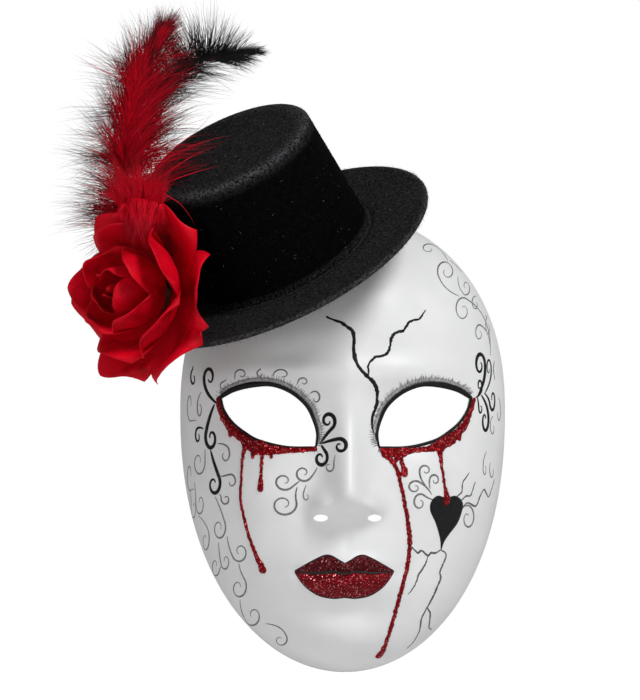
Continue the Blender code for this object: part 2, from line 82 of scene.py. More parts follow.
EYE_LOWER_LID = ((61.5, 10.5), (60, 5), (56, -1), (50, -6), (43, -10), (30, -13.2),
                 (16, -13.5))
NOSTRIL_CENTRE = (13.3, -49)
NOSTRIL_HALF_SIZE = (3.5, 1.7)

# ---------- painted ornament, millimetres ----------
# each curl: its stem's start x, z; its spiral's centre x, z; half-width, half-height; where
# the spiral meets the stem in degrees; its turns, clockwise below zero; stroke width
BOLD_CURLS = (
    (-63.8, 7.8, -67.8, 21, 2.7, 5.4, 195, -0.95, 1.7), (-65.3, 7.8, -66.9, -9, 2.9, 6, 150, 1.1, 1.9),
    (-67.3, -15, -65.6, -32, 3.2, 5.8, 45, -1.05, 1.8), (-76, 27, -75.7, 21.2, 1.4, 4.3, 110, 0.9, 1.2),
    (-70.8, -4.5, -73.4, -8, 1.4, 4, 90, 0.95, 1.2), (-13.5, -12.3, -9.6, -1, 3.6, 4.4, 300, 1.15, 1.8),
    (-12.5, -12, -4, -13.5, 3.5, 3.7, 110, -1.1, 1.7), (-13, -13, -13.3, -19.3, 3.4, 4.4, 50, -1.1, 1.7),
    (66, 11.5, 67.5, 27.5, 2.8, 6.3, 350, 1.2, 1.8), (70, 13.5, 72.2, 26, 1.4, 5, 350, 1.0, 1.0),
    (65, 11, 67.2, 17, 1.3, 3.3, 340, 0.95, 1.1), (69.7, 13.5, 74.2, 10.5, 1.7, 6, 200, 1.0, 1.3),
    (66, 11.5, 67.7, 6, 1, 3, 180, 0.8, 0.9), (68, 12.5, 70, 0, 2, 6.5, 30, -1.0, 1.6),
)
GREY_CURLS = (
    (-63.8, -12, -60.3, -17.5, 2.7, 4.6, 75, -0.85, 1), (-63, -28.5, -57.3, -31, 2.8, 3.8, 110, -0.8, 1),
    (-63, -37, -59.8, -39.5, 2.3, 3, 170, 0.95, 1), (-74.3, 0, -77.3, 7.5, 1.6, 8, 280, -0.85, 0.8),
    (-71.8, 14, -72.5, 6, 1.3, 5, 150, 0.9, 0.9), (-70, -14.7, -73, -21, 3.1, 7, 10, -1.05, 0.9),
    (-75.3, -34.5, -77.3, -27.5, 1.6, 8, 290, -0.85, 0.8), (-77, -35, -75.3, -44, 1.3, 6, 170, 0.9, 0.7),
    (-75, -31, -72.2, -41.5, 2.2, 6.3, 175, 1.0, 0.8), (-73, -47.8, -69.6, -60, 2, 6.5, 60, -1.05, 0.8),
    (-65, -38.3, -63, -54, 3.3, 6, 40, -1.2, 0.9), (-59, -58, -52.8, -65.8, 4, 5.2, 200, 1.1, 0.9),
    (-63.3, -61, -59.8, -70.5, 2.3, 4.5, 190, 1.0, 0.8),
    (-53.3, -71.5, -53.3, -83.5, 4, 6, 50, -1.1, 0.9),
    (-52.5, -89.7, -46, -97.5, 4, 5.5, 210, 1.0, 0.9),
    (-40, -101.5, -32.5, -109.5, 3.3, 3.5, 30, -0.95, 0.8),
    (-61.5, -73, -64.6, -73, 2.1, 5.5, 340, -0.95, 0.7), (-59.5, 20, -61, 16.5, 1.8, 2.2, 100, 0.7, 0.8),
    (-55.3, 20, -52.3, 22.3, 3, 2.8, 180, -0.9, 0.8), (-43, 25.5, -42.8, 22.5, 2, 2, 100, 0.8, 0.8),
    (-36.8, 21, -32.3, 21.8, 4, 3, 150, -0.7, 0.8), (-25, 17, -21.8, 18.3, 2.6, 2.3, 170, -0.9, 0.8),
    (-18.5, 12.5, -15.8, 10.3, 2.7, 3.5, 110, -0.8, 0.9), (-6.3, -18, -9.3, -23.5, 2.3, 3, 10, -0.85, 1),
    (-15, -24, -21.8, -26.8, 4.3, 4.2, 330, -1.1, 1.1),
    (-23.5, -30.5, -31.3, -30.8, 5, 4.5, 320, -1.1, 1.1),
    (-24.8, -33.5, -31.5, -42.3, 6.5, 5.8, 20, -1.25, 1.1),
    (-20.3, -32.5, -20.3, -38, 1.7, 2.8, 150, 0.75, 0.7),
    (52, 80, 42.5, 86, 4, 2.8, 60, 0.9, 0.8), (57, 62, 51, 74.5, 5, 6, 215, -1.2, 0.9),
    (73.3, 32.5, 59, 55, 4.5, 6.5, 60, 1.15, 0.9), (73, 38, 67.5, 43.5, 2.5, 4.5, 60, 1.05, 0.8),
    (57, 72, 61, 67, 2.8, 4.5, 220, 1.0, 0.7), (66.5, 62, 66, 58.5, 2.3, 4, 90, 0.9, 0.7),
    (71, 53, 72.5, 47, 1.6, 5, 110, 0.9, 0.7), (77.5, 11.3, 77.5, 4, 1.4, 6.5, 60, -0.7, 0.7),
    (74.5, 2, 74.3, -3.5, 1.6, 5, 110, 0.85, 0.7), (70.8, -15.5, 70, -24, 1.1, 4.5, 150, 0.8, 0.7),
    (73, -21, 74, -25, 1.4, 4.5, 190, 0.6, 0.7), (43, -40, 36, -41.3, 3.6, 4.4, 50, 1.1, 1),
    (42, -37.5, 33.5, -33.8, 3.7, 3.3, 50, 1.1, 1), (39, -33, 38.8, -25.5, 3, 3, 190, -0.95, 1),
    (41.2, -34.5, 43.5, -30.3, 2.7, 3.1, 180, -1.0, 1), (58, -44.5, 60.8, -49, 3.9, 6.5, 110, -1.15, 1),
)
# fine lines: stroke width, then x, z along each
GREY_LINES = (
    (0.9, (54, -39), (57.5, -36), (58, -31.5), (60, -28.5), (61.5, -26.3)),
    (0.9, (57, -40.5), (60, -38), (62.3, -37.7), (63.8, -33.5), (64.8, -31)),
    (0.9, (57.5, -43.8), (61, -41.4), (65, -43), (67.3, -38.5), (69.5, -34.7), (72.2, -38.2),
     (75.4, -29.5)),
    (1.1, (47, -64.8), (44.2, -66.3), (41.7, -66.3), (40.2, -67.6), (37.1, -65.1), (35, -66.2),
     (32, -63.2)),
    (0.9, (40.2, -67.6), (39.5, -70.7), (37.5, -74.3), (35.6, -77), (34.7, -80), (33.1, -83.4),
     (30.3, -86.8)),
    (1.1, (47, -64.8), (49.2, -66.2), (49.5, -68.4), (47.5, -73.4), (46.5, -76.2), (47, -79), (45, -84),
     (43.4, -87.9), (40.3, -93.4), (37.5, -99), (36.7, -105), (33.7, -110.7), (30.5, -114)),
    (1.0, (40.3, -93.4), (42, -96.8), (41.7, -103.4), (43.2, -104.5)),
    (0.7, (53.5, 80.5), (57, 77.5), (59.5, 75)), (0.7, (75.5, 30), (74.8, 25.5), (75.5, 20.5)),
)
CRACKS = (
    (1.9, (-10.5, 50.8), (-2, 47), (2.8, 42.5), (3, 34.5), (4.3, 27.5), (9.3, 21.5), (12.8, 18.3),
     (14.8, 13.5), (14.5, 7), (12.4, 0.7), (12.8, -5.5), (15.2, -10.9)),
    (1.4, (10.3, 21.5), (10.3, 26.7), (13.4, 30.5), (18.3, 31.6), (20.8, 34.5), (21.8, 40), (24.3, 43),
     (27.8, 43.8), (31.2, 48.4), (36.3, 50), (39.3, 54.4)),
)
HEART_CENTRE = (49.7, -46)
HEART = ((49.7, -40.3), (51.8, -38.4), (54.4, -38), (57.3, -40), (58.1, -43.6), (55.7, -51), (51.2, -57),
         (48.5, -61), (47, -65), (46.7, -61), (45.8, -56.7), (43.9, -51), (41.3, -45.5), (41.6, -41),
         (44.6, -38), (47.8, -38.6))
# liner round the eye, from the inner corner over the upper lid and back below: widths
LINER_WIDTHS = (1.1, 1.4, 1.9, 2.0, 2.3, 2.9, 2.4, 1.4, 1.4, 1.5, 1.6, 1.2)
LASHES = 210

# ---------- glitter, millimetres: x, z, width ----------
LEFT_BAND = ((-63.6, 9.8, 2.8), (-61.9, 3.6, 3.6), (-58, -3.2, 4.4), (-52, -9.2, 5.2), (-47, -12.8, 6.4),
             (-41, -14.8, 6.4), (-36, -15.1, 4.4), (-27, -15.4, 3.2), (-16, -15, 2.6))
RIGHT_BAND = ((64, 10, 2.4), (62.1, 3.4, 3), (58.3, -3.8, 4.2), (52, -9.6, 5.6), (46, -12.9, 5.2),
              (38.5, -14.9, 2.8), (31, -15.7, 3.2), (26, -16.5, 4.8), (18, -15.6, 3.6))
LEFT_LONG_TEAR = ((-50.2, -11, 3.4), (-51.6, -20, 2), (-52.2, -30, 1.7), (-52.5, -40, 1.8),
                  (-50.2, -51.5, 1.9), (-46.7, -63, 2.2), (-43.7, -70, 2.8), (-41.2, -75, 4.2))
LEFT_SHORT_TEAR = ((-42, -15, 3), (-42.4, -24, 1.8), (-42.7, -31, 2.6), (-43, -34.5, 3.6))
HEART_TEAR = ((46, -13, 6), (46.3, -16.5, 3.6), (47.2, -24, 2), (48.9, -34.5, 2.4), (49.8, -39, 4),
              (49.8, -40.3, 4.6))
RIGHT_SHORT_TEAR = ((25.4, -16, 3), (27.2, -22, 2.4), (28.5, -27.3, 4))
RIGHT_LONG_TEAR = ((18, -17, 3.4), (21.5, -20, 2.6), (24.5, -25, 2.2), (27, -35, 2.2),
                   (29.4, -47.5, 2.4), (31, -60, 2.6), (29.5, -74, 2.6), (26, -88, 2.6),
                   (22.6, -101, 2.6), (18.8, -113, 3), (16.4, -117.5, 4.2))
LEFT_DRIP_TIPS = ((-61.6, 0.6, 2.4), (-57.6, -7.4, 2.6), (-46.6, -18.5, 2.2), (-37.5, -18.6, 1.8))
RIGHT_DRIP_TIPS = ((56.5, -9.4, 2.2), (24.3, -20, 2.4))
LIP_SHIFT = -1.5
UPPER_LIP = ((24.4, -75.1), (19.5, -72.3), (14, -69.3), (9.6, -67.5), (6.4, -67.9), (3, -69.9),
             (0, -71.6))
LOWER_LIP = ((24.4, -75.7), (21.6, -80), (18, -83.8), (12.3, -87.2), (5.5, -88.5), (0, -88))
MOUTH_LINE = ((24.4, -75.4), (14, -76.2), (6, -75.6), (0, -76.4))

# ---------- hat ----------
HAT_SEAT = Vector((-32, -40, 79.5)) * MM
HAT_AXIS = Vector((-0.4195, -0.406, 0.8125)).normalized()
BRIM_RADIUS = 80.5 * MM
BRIM_HOLE = 46.3 * MM
FELT = 2.4 * MM
BRIM_DISH = 1.2 * MM
CROWN_WALL = 1.6 * MM
CROWN_BASE_RADIUS = 48.5 * MM
CROWN_TOP_RADIUS = 43.5 * MM
CROWN_HEIGHT = 66 * MM
CROWN_ROUNDING = 3 * MM
HAT_SIDES = 144
FACING_UP_PAINTED_LIGHT = 0.45            # how much lighter the felt is painted where it faces up: painted light from above

# ---------- rose ----------
ROSE_BASE = Vector((-94, -73, 62)) * MM
ROSE_AXIS = Vector((-0.75, -0.66, 0.02)).normalized()
PETAL_CLOTH = 0.45 * MM
PETAL_CELLS = 18
# petals in the ring; its profile as a curve, distance from the axis and height; offset; how far
# the sides roll back; how far the tip bends over; how pointed the tip is
PETAL_RINGS = (
    (3, ((6.4, 5), (13.5, 13), (13, 27), (8, 37)), 0.0, 1.0, 0.5, 0.12),
    (4, ((8.0, 2.6), (19, 7), (21, 25), (17, 37)), 0.5, 2.2, 2.0, 0.16),
    (5, ((9.6, 0.2), (27, 1), (31, 19), (30, 32)), 0.2, 4.0, 3.0, 0.24),
    (6, ((11.2, -2.0), (33, -4), (39, 9), (42.5, 19)), 0.55, 5.0, 4.0, 0.34),
)

# ---------- feathers, millimetres: x, y, z down the middle of each vane ----------
RED_QUILL = ((-85.8, -55.2, 79.3), (-98, -53, 85), (-106, -51, 92), (-108, -57, 104),
             (-110, -66, 116), (-110.5, -73, 130), (-109, -76, 144),
             (-106.5, -78, 157), (-103, -80, 169), (-98, -81, 180), (-92, -81.5, 190))
BLACK_QUILL = ((-88.5, -47.4, 85.9), (-97.5, -45.5, 90.5), (-104, -43, 97), (-107, -47, 112),
               (-104, -53, 128), (-101, -58, 144), (-97, -62, 158),
               (-87, -65, 170), (-74, -66, 178), (-61, -67, 180), (-49, -68, 181))
# along the quill, 0 to 1: angle of the barbs to the quill in degrees, their length
RED_OUTER_BARBS = ((0, 120, 32), (0.2, 104, 47), (0.4, 66, 55), (0.6, 36, 56), (0.8, 20, 40), (1, 6, 18))
RED_INNER_BARBS = ((0, 96, 30), (0.2, 78, 40), (0.4, 42, 42), (0.6, 22, 42), (0.8, 13, 32), (1, 5, 18))
BLACK_OUTER_BARBS = ((0, 60, 12), (0.3, 48, 28), (0.6, 34, 38), (0.8, 24, 30), (1, 6, 13))
BLACK_INNER_BARBS = ((0, 70, 14), (0.3, 84, 34), (0.6, 98, 44), (0.8, 80, 32), (1, 20, 12))
RED_FLUFF = ((-116, -92, 102), (-105, -101, 107), (-91, -98, 104))
RED_FLUFF_BARBS = ((0, 100, 20), (0.5, 95, 27), (1, 80, 20))
RED_STRAYS = (
    ((-108, -84, 106), (-92.5, -84, 125), (-72.5, -78, 136), (-54.5, -72, 140)),
    ((-107, -84, 108), (-90, -86, 120), (-75, -82, 130), (-61.5, -76, 135)),
    ((-107, -86, 106), (-90, -92, 115), (-73, -95, 121), (-60, -96, 124)),
    ((-103, -92, 112), (-92.5, -97, 110), (-81, -100, 102.5), (-74, -101, 89)),
    ((-105, -86, 112), (-88, -84, 131), (-74, -80, 142), (-66, -76, 152)),
)

RED_BARBS = (4200, 2300)          # long ones, then short ones at the quill
BLACK_BARBS = (2800, 1600)
FLUFF_BARBS = 900
BARB_RADII = (0.10, 0.19)
STRAY_THICKNESS = 2.1             # against an ordinary barb
NAP_FIBRES = 4200
NAP_EDGE_FIBRES = 2200
GLITTER_GRAIN = 0.3 * MM          # how finely the blobs of glitter gel melt together

# ---------- view ----------
AIM = Vector((-12.5, -30, 35)) * MM
CAMERA_DISTANCE = 3.0
CAMERA_TURN = math.radians(-2.0)
CAMERA_RISE = math.radians(-1.6)
VIEW_HEIGHT = 350 * MM
WORLD_LIGHT = 0.30
# each lamp: its name, place in metres, diameter and power
LAMPS = (("key", (0.75, -1.15, 1.35), 0.6, 21), ("fill", (-1.0, -1.5, -0.35), 1.0, 16),
         ("low", (0.45, -1.4, -0.9), 1.0, 38))


# ---------- general helpers ----------
def deselect_all():
    if bpy.context.object and bpy.context.object.mode != "OBJECT":
        bpy.ops.object.mode_set(mode="OBJECT")
    for obj in bpy.context.selected_objects:
        obj.select_set(False)


def named(name):
    obj = bpy.context.object
    obj.name = name
    obj.data.name = name
    return obj


def get_points(obj):
    co = np.empty(len(obj.data.vertices) * 3)
    obj.data.vertices.foreach_get("co", co)
    return co.reshape(-1, 3)


def set_points(obj, points):
    obj.data.vertices.foreach_set("co", np.asarray(points, dtype=float).ravel())
    obj.data.update()


def apply_modifiers(obj):
    deselect_all()
    obj.select_set(True)
    bpy.context.view_layer.objects.active = obj
    for mod in list(obj.modifiers):
        bpy.ops.object.modifier_apply(modifier=mod.name)


def solidify(obj, thickness, offset=-1.0):
    mod = obj.modifiers.new("wall", "SOLIDIFY")
    mod.thickness = thickness
    mod.offset = offset
    apply_modifiers(obj)


def smooth_by_angle(obj, degrees=35):
    deselect_all()
    obj.select_set(True)
    bpy.context.view_layer.objects.active = obj
    bpy.ops.object.shade_smooth_by_angle(angle=math.radians(degrees))


def mesh_piece(name, points, faces):
    mesh = bpy.data.meshes.new(name)
    mesh.from_pydata(np.asarray(points).tolist(), [], faces)
    obj = bpy.data.objects.new(name, mesh)
    bpy.context.scene.collection.objects.link(obj)
    mesh.shade_smooth()
    return obj


def finish_piece(obj, mats, replaces=(), body="root"):
    for mat in mats:
        obj.data.materials.append(mat)
    if replaces:
        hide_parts(*replaces)
    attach(obj, body)
    return obj


def smooth_through(points, steps=6):
    """A smooth open curve through a few points of any dimension."""
    pts = np.array(points, dtype=float)
    ext = np.vstack([2 * pts[0] - pts[1], pts, 2 * pts[-1] - pts[-2]])
    out = []
    for i in range(1, len(ext) - 2):
        a, b, c, d = ext[i - 1:i + 3]
        for k in range(steps):
            t = k / steps
            out.append(0.5 * (2 * b + (c - a) * t + (2 * a - 5 * b + 4 * c - d) * t * t
                              + (3 * b - 3 * c + d - a) * t ** 3))
    out.append(ext[-2])
    return np.array(out)


def frame_on(origin, axis, towards=Vector((1, 0, 0))):
    z = axis.normalized()
    x = (towards - z * towards.dot(z)).normalized()
    y = z.cross(x)
    return Matrix.Translation(origin) @ Matrix((x, y, z)).transposed().to_4x4()


# ---------- the face surface ----------
def outline_measure(x, z):
    up = z > WIDEST_Z
    r = np.where(up, (z - WIDEST_Z) / TOP_REACH, (WIDEST_Z - z) / CHIN_REACH)
    return (x / HALF_WIDTH) ** 2 + np.abs(r) ** np.where(up, CROWN_EXPONENT, JAW_EXPONENT)


def rim_setback(z):
    up = z > WIDEST_Z
    r = np.where(up, (z - WIDEST_Z) / TOP_REACH, (WIDEST_Z - z) / CHIN_REACH)
    return np.where(up, TOP_SETBACK, CHIN_SETBACK) * r ** 2


def relief(x, z):
    total = np.zeros_like(x)
    for cx, cz, sx, sz, height, mirrored in RELIEF:
        for side in (1, -1) if mirrored else (1,):
            across = (x - side * cx * MM) / (sx * MM)
            along = (z - cz * MM) / (sz * MM)
            total = total + height * MM * np.exp(-across ** 2 - along ** 2)
    run = np.clip((NOSE_ROOT_Z - z) / (NOSE_ROOT_Z - NOSE_TIP_Z), 0, 1)
    ridge = NOSE_ROOT_RISE + (NOSE_TIP_RISE - NOSE_ROOT_RISE) * run ** 1.5
    underside = 1 / (1 + np.exp((NOSE_BASE_Z - z) / (2.6 * MM)))
    root_fade = 1 / (1 + np.exp((z - NOSE_ROOT_Z - 6 * MM) / (6 * MM)))
    width = NOSE_HALF_WIDTH * (1 + 0.5 * run)
    return total + ridge * underside * root_fade * np.exp(-(x / width) ** 2)


def face_y(x, z):
    inside = np.clip(1 - outline_measure(x, z), 0, 1)
    swell = DOME_DEPTH * inside ** DOME_EXPONENT + relief(x, z) * inside ** 0.5
    return -(rim_setback(z) + swell)


def on_face(x, z, lift=0.0):
    """Points on the face at x and z, raised along the surface's own normal."""
    x, z = np.asarray(x, float), np.asarray(z, float)
    step = 0.05 * MM
    y = face_y(x, z)
    slope_x = (face_y(x + step, z) - face_y(x - step, z)) / (2 * step)
    slope_z = (face_y(x, z + step) - face_y(x, z - step)) / (2 * step)
    normal = np.stack([slope_x, -np.ones_like(x), slope_z], axis=-1)
    normal /= np.linalg.norm(normal, axis=-1, keepdims=True)
    points = np.stack([x, y, z], axis=-1)
    return points + normal * np.asarray(lift)[..., None], normal


def press_into_outline(a, b):
    """Square grid coordinates, -1 to 1, to x and z inside the face's outline, with no pole."""
    u = a * np.sqrt(1 - b * b / 2)
    v = b * np.sqrt(1 - a * a / 2)
    radius = np.clip(np.hypot(u, v), 1e-9, 1)
    spread = np.sin(radius * math.pi / 2) / radius
    u, v = u * spread, v * spread
    z = WIDEST_Z + np.where(v > 0, TOP_REACH * np.abs(v) ** (2 / CROWN_EXPONENT),
                            -CHIN_REACH * np.abs(v) ** (2 / JAW_EXPONENT))
    return u * HALF_WIDTH, z


# ---------- shader helpers ----------
class Nodes:
    """Adds and links the nodes of one material or node group."""

    def __init__(self, tree):
        self.tree = tree

    def add(self, kind, **settings):
        node = self.tree.nodes.new(kind)
        for key, value in settings.items():
            if key in node.inputs:
                node.inputs[key].default_value = value
            else:
                setattr(node, key, value)
        return node

    def link(self, a, b):
        self.tree.links.new(a, b)

    def ramp(self, source, stops):
        ramp = self.tree.nodes.new("ShaderNodeValToRGB")
        elements = ramp.color_ramp.elements
        while len(elements) < len(stops):
            elements.new(0.5)
        for element, (place, colour) in zip(elements, stops):
            element.position = place
            shade = colour if isinstance(colour, tuple) else (colour,) * 3
            element.color = (*shade, 1.0)
        self.link(source, ramp.inputs["Fac"])
        return ramp.outputs["Color"]

    def math(self, operation, a, b=None):
        node = self.tree.nodes.new("ShaderNodeMath")
        node.operation = operation
        for socket, value in zip(node.inputs, (a, b)):
            if value is None:
                continue
            if isinstance(value, (int, float)):
                socket.default_value = value
            else:
                self.link(value, socket)
        return node.outputs["Value"]

    def mix(self, factor, a, b, blend="MIX"):
        node = self.tree.nodes.new("ShaderNodeMix")
        node.data_type = "RGBA"
        node.blend_type = blend
        for socket, value in ((node.inputs[0], factor), (node.inputs[6], a), (node.inputs[7], b)):
            if isinstance(value, tuple):
                socket.default_value = (*value, 1.0)
            elif isinstance(value, (int, float)):
                socket.default_value = value
            else:
                self.link(value, socket)
        return node.outputs[2]


def new_material(name, roughness, metallic=0.0, **sockets):
    mat = bpy.data.materials.new(name)
    mat.use_nodes = True
    shader = mat.node_tree.nodes["Principled BSDF"]
    shader.inputs["Roughness"].default_value = roughness
    shader.inputs["Metallic"].default_value = metallic
    for key, value in sockets.items():
        shader.inputs[key.replace("_", " ")].default_value = value
    return mat, Nodes(mat.node_tree), shader


def object_coords(nodes):
    return nodes.add("ShaderNodeTexCoord").outputs["Object"]


def noise(nodes, coords, scale, detail=3.0, roughness=0.55):
    node = nodes.add("ShaderNodeTexNoise", Scale=scale, Detail=detail, Roughness=roughness)
    nodes.link(coords, node.inputs["Vector"])
    return node.outputs["Fac"]


def bump(nodes, shader, height, strength, distance):
    node = nodes.add("ShaderNodeBump", Strength=strength, Distance=distance)
    nodes.link(height, node.inputs["Height"])
    nodes.link(node.outputs["Normal"], shader.inputs["Normal"])


# ---------- materials ----------
def shell_paint():
    mat, nodes, shader = new_material("painted_shell", 0.42, Coat_Weight=0.12, Coat_Roughness=0.35)
    coords = object_coords(nodes)
    cloud = noise(nodes, coords, 38.0, 4.0)
    colour = nodes.ramp(cloud, ((0.3, (0.80, 0.805, 0.815)), (0.7, (0.87, 0.87, 0.87))))
    nodes.link(colour, shader.inputs["Base Color"])
    rough = nodes.ramp(noise(nodes, coords, 160.0), ((0.3, 0.36), (0.7, 0.5)))
    nodes.link(rough, shader.inputs["Roughness"])
    fine = noise(nodes, coords, 900.0, 2.0)
    bump(nodes, shader, fine, 0.12, 0.0002)
    return mat


def black_paint(name="black_paint", shade=0.007):
    mat, nodes, shader = new_material(name, 0.5, Specular_IOR_Level=0.15)
    coords = object_coords(nodes)
    grain = noise(nodes, coords, 700.0, 4.0)
    colour = nodes.ramp(grain, ((0.35, (shade, shade, shade)), (0.75, (shade * 2.4,) * 3)))
    nodes.link(colour, shader.inputs["Base Color"])
    bump(nodes, shader, grain, 0.2, 0.0001)
    return mat


def felt(name="black_felt"):
    mat, nodes, shader = new_material(name, 0.95, Specular_IOR_Level=0.03)
    coords = object_coords(nodes)
    tuft = noise(nodes, coords, 420.0, 5.0, 0.7)
    fibre = noise(nodes, coords, 1700.0, 3.0, 0.7)
    both = nodes.math("MULTIPLY", tuft, fibre)
    colour = nodes.ramp(both, ((0.16, (0.0006, 0.0006, 0.0008)), (0.42, (0.0038, 0.0038, 0.0042))))
    # lighter grey mixed in, in patches: rubbed felt, a painted highlight along the crown's base, and
    # painted light where the felt faces up
    wear_and_painted_light = nodes.add("ShaderNodeAttribute", attribute_name="wear_and_painted_light").outputs["Fac"]
    patchy = nodes.ramp(noise(nodes, coords, 900.0, 3.0), ((0.35, 0.0), (0.7, 1.0)))
    colour = nodes.mix(nodes.math("MULTIPLY", wear_and_painted_light, patchy), colour, (0.085, 0.085, 0.09))
    nodes.link(colour, shader.inputs["Base Color"])
    bump(nodes, shader, both, 0.8, 0.0006)
    return mat


def glitter(name, deep, bright, painted_glint, scale):
    """Flakes set in gel: each cell has its own tint and its own tilt; the few brightest cells are
    painted glints.
    """
    mat, nodes, shader = new_material(name, 0.3, 0.6, Specular_IOR_Level=0.25)
    coords = object_coords(nodes)
    cells = nodes.add("ShaderNodeTexVoronoi", Scale=scale)
    nodes.link(coords, cells.inputs["Vector"])
    split = nodes.add("ShaderNodeSeparateColor")
    nodes.link(cells.outputs["Color"], split.inputs["Color"])
    tint = nodes.ramp(split.outputs["Red"], ((0.0, deep), (0.62, bright), (0.93, bright), (0.97, painted_glint)))
    nodes.link(tint, shader.inputs["Base Color"])
    centred = nodes.add("ShaderNodeVectorMath", operation="SUBTRACT")
    nodes.link(cells.outputs["Color"], centred.inputs[0])
    centred.inputs[1].default_value = (0.5, 0.5, 0.5)
    tilt = nodes.add("ShaderNodeVectorMath", operation="MULTIPLY_ADD")
    nodes.link(centred.outputs[0], tilt.inputs[0])
    tilt.inputs[1].default_value = (1.1, 1.1, 1.1)
    nodes.link(nodes.add("ShaderNodeNewGeometry").outputs["Normal"], tilt.inputs[2])
    unit = nodes.add("ShaderNodeVectorMath", operation="NORMALIZE")
    nodes.link(tilt.outputs[0], unit.inputs[0])
    nodes.link(unit.outputs[0], shader.inputs["Normal"])
    return mat


def rose_velvet(name, dark, bright):
    mat, nodes, shader = new_material(name, 0.55, Specular_IOR_Level=0.12, Sheen_Weight=0.12,
                                      Sheen_Tint=(0.9, 0.0, 0.03, 1.0))
    coords = object_coords(nodes)
    cloud = noise(nodes, coords, 60.0, 3.0)
    pile = noise(nodes, coords, 1500.0, 3.0, 0.7)
    both = nodes.math("ADD", nodes.math("MULTIPLY", cloud, 0.8), nodes.math("MULTIPLY", pile, 0.2))
    nodes.link(nodes.ramp(both, ((0.36, dark), (0.5, bright))), shader.inputs["Base Color"])
    bump(nodes, shader, pile, 0.25, 0.0002)
    return mat


def calyx_green():
    mat, nodes, shader = new_material("calyx_green", 0.45, Coat_Weight=0.1)
    coords = object_coords(nodes)
    mottle = noise(nodes, coords, 220.0, 4.0)
    nodes.link(nodes.ramp(mottle, ((0.35, (0.012, 0.05, 0.014)), (0.7, (0.035, 0.12, 0.04)))),
               shader.inputs["Base Color"])
    bump(nodes, shader, mottle, 0.2, 0.0003)
    return mat


def feather_down(name, root, tip, change):
    """Down dyed at the root, with darker ends; the change comes at a different place on each barb."""
    mat, nodes, shader = new_material(name, 0.75, Specular_IOR_Level=0.2)
    uv = nodes.add("ShaderNodeUVMap", uv_map="along")
    split = nodes.add("ShaderNodeSeparateXYZ")
    nodes.link(uv.outputs["UV"], split.inputs["Vector"])
    own = nodes.math("MULTIPLY", nodes.math("SUBTRACT", split.outputs["Y"], 0.5), 0.5)
    place = nodes.math("ADD", split.outputs["X"], own)
    mid = tuple((a + b) / 2.6 for a, b in zip(root, tip))
    colour = nodes.ramp(place, ((change - 0.3, root), (change, mid), (change + 0.14, tip)))
    nodes.link(colour, shader.inputs["Base Color"])
    rough = nodes.ramp(split.outputs["Y"], ((0.0, 0.6), (1.0, 0.85)))
    nodes.link(rough, shader.inputs["Roughness"])
    return mat


def nap_fibre():
    mat, nodes, shader = new_material("nap_fibre", 0.9, Specular_IOR_Level=0.1)
    uv = nodes.add("ShaderNodeUVMap", uv_map="along")
    split = nodes.add("ShaderNodeSeparateXYZ")
    nodes.link(uv.outputs["UV"], split.inputs["Vector"])
    colour = nodes.ramp(split.outputs["Y"], ((0.0, 0.004), (0.82, 0.014), (0.96, 0.05), (0.99, 0.35)))
    nodes.link(colour, shader.inputs["Base Color"])
    return mat


def hot_melt():
    mat, nodes, shader = new_material("hot_melt_glue", 0.25, Coat_Weight=0.3)
    coords = object_coords(nodes)
    cloud = noise(nodes, coords, 260.0, 3.0)
    nodes.link(nodes.ramp(cloud, ((0.3, (0.62, 0.56, 0.42)), (0.7, (0.80, 0.77, 0.66)))),
               shader.inputs["Base Color"])
    bump(nodes, shader, cloud, 0.3, 0.0006)
    return mat


def anchor_plastic():
    mat, nodes, shader = new_material("moulded_anchor", 0.38)
    coords = object_coords(nodes)
    grain = noise(nodes, coords, 700.0, 4.0)
    nodes.link(nodes.ramp(grain, ((0.3, (0.70, 0.70, 0.69)), (0.7, (0.82, 0.82, 0.80)))),
               shader.inputs["Base Color"])
    bump(nodes, shader, grain, 0.15, 0.0002)
    return mat


# ---------- mask ----------
def eye_outline(side, steps=6):
    upper = smooth_through(EYE_UPPER_LID, steps)
    lower = smooth_through(EYE_LOWER_LID, steps)
    return [(side * x * MM, z * MM) for x, z in np.vstack([upper[:-1], lower[:-1]])]


def nostril_outline(side):
    turn = [2 * math.pi * k / 24 for k in range(24)]
    cx, cz = NOSTRIL_CENTRE
    wide, tall = NOSTRIL_HALF_SIZE
    return [(side * (cx + wide * math.cos(t)) * MM, (cz + tall * math.sin(t)) * MM) for t in turn]


def punch(outline):
    """A cutter: a filled ring in the X-Z plane, drawn right through the shell along Y."""
    deselect_all()
    bpy.ops.mesh.primitive_circle_add(vertices=len(outline), fill_type="NGON")
    tool = bpy.context.object
    set_points(tool, [(x, -0.13, z) for x, z in outline])
    bpy.ops.object.mode_set(mode="EDIT")
    bpy.ops.mesh.select_all(action="SELECT")
    bpy.ops.mesh.extrude_region_move(TRANSFORM_OT_translate={"value": (0, 0.15, 0)})
    bpy.ops.mesh.select_all(action="SELECT")
    bpy.ops.mesh.normals_make_consistent(inside=False)
    bpy.ops.object.mode_set(mode="OBJECT")
    return tool


def make_mask(paint, liner):
    deselect_all()
    bpy.ops.mesh.primitive_grid_add(x_subdivisions=SHELL_CELLS, y_subdivisions=SHELL_CELLS, size=2)
    mask = named("mask_face")
    flat = get_points(mask)
    x, z = press_into_outline(flat[:, 0], flat[:, 1])
    set_points(mask, on_face(x, z)[0])
    solidify(mask, SHELL_WALL)
    mask.data.materials.append(paint)
    outlines = [(eye_outline(s), liner) for s in (-1, 1)]
    outlines += [(nostril_outline(s), paint) for s in (-1, 1)]
    for outline, wall_mat in outlines:
        tool = punch(outline)
        tool.data.materials.append(wall_mat)
        mod = mask.modifiers.new("opening", "BOOLEAN")
        mod.object = tool
        mod.solver = "EXACT"
        mod.material_mode = "TRANSFER"
        apply_modifiers(mask)
        bpy.data.objects.remove(tool, do_unlink=True)
    smooth_by_angle(mask, 40)
    return finish_piece(mask, (), ("mask_shell",))


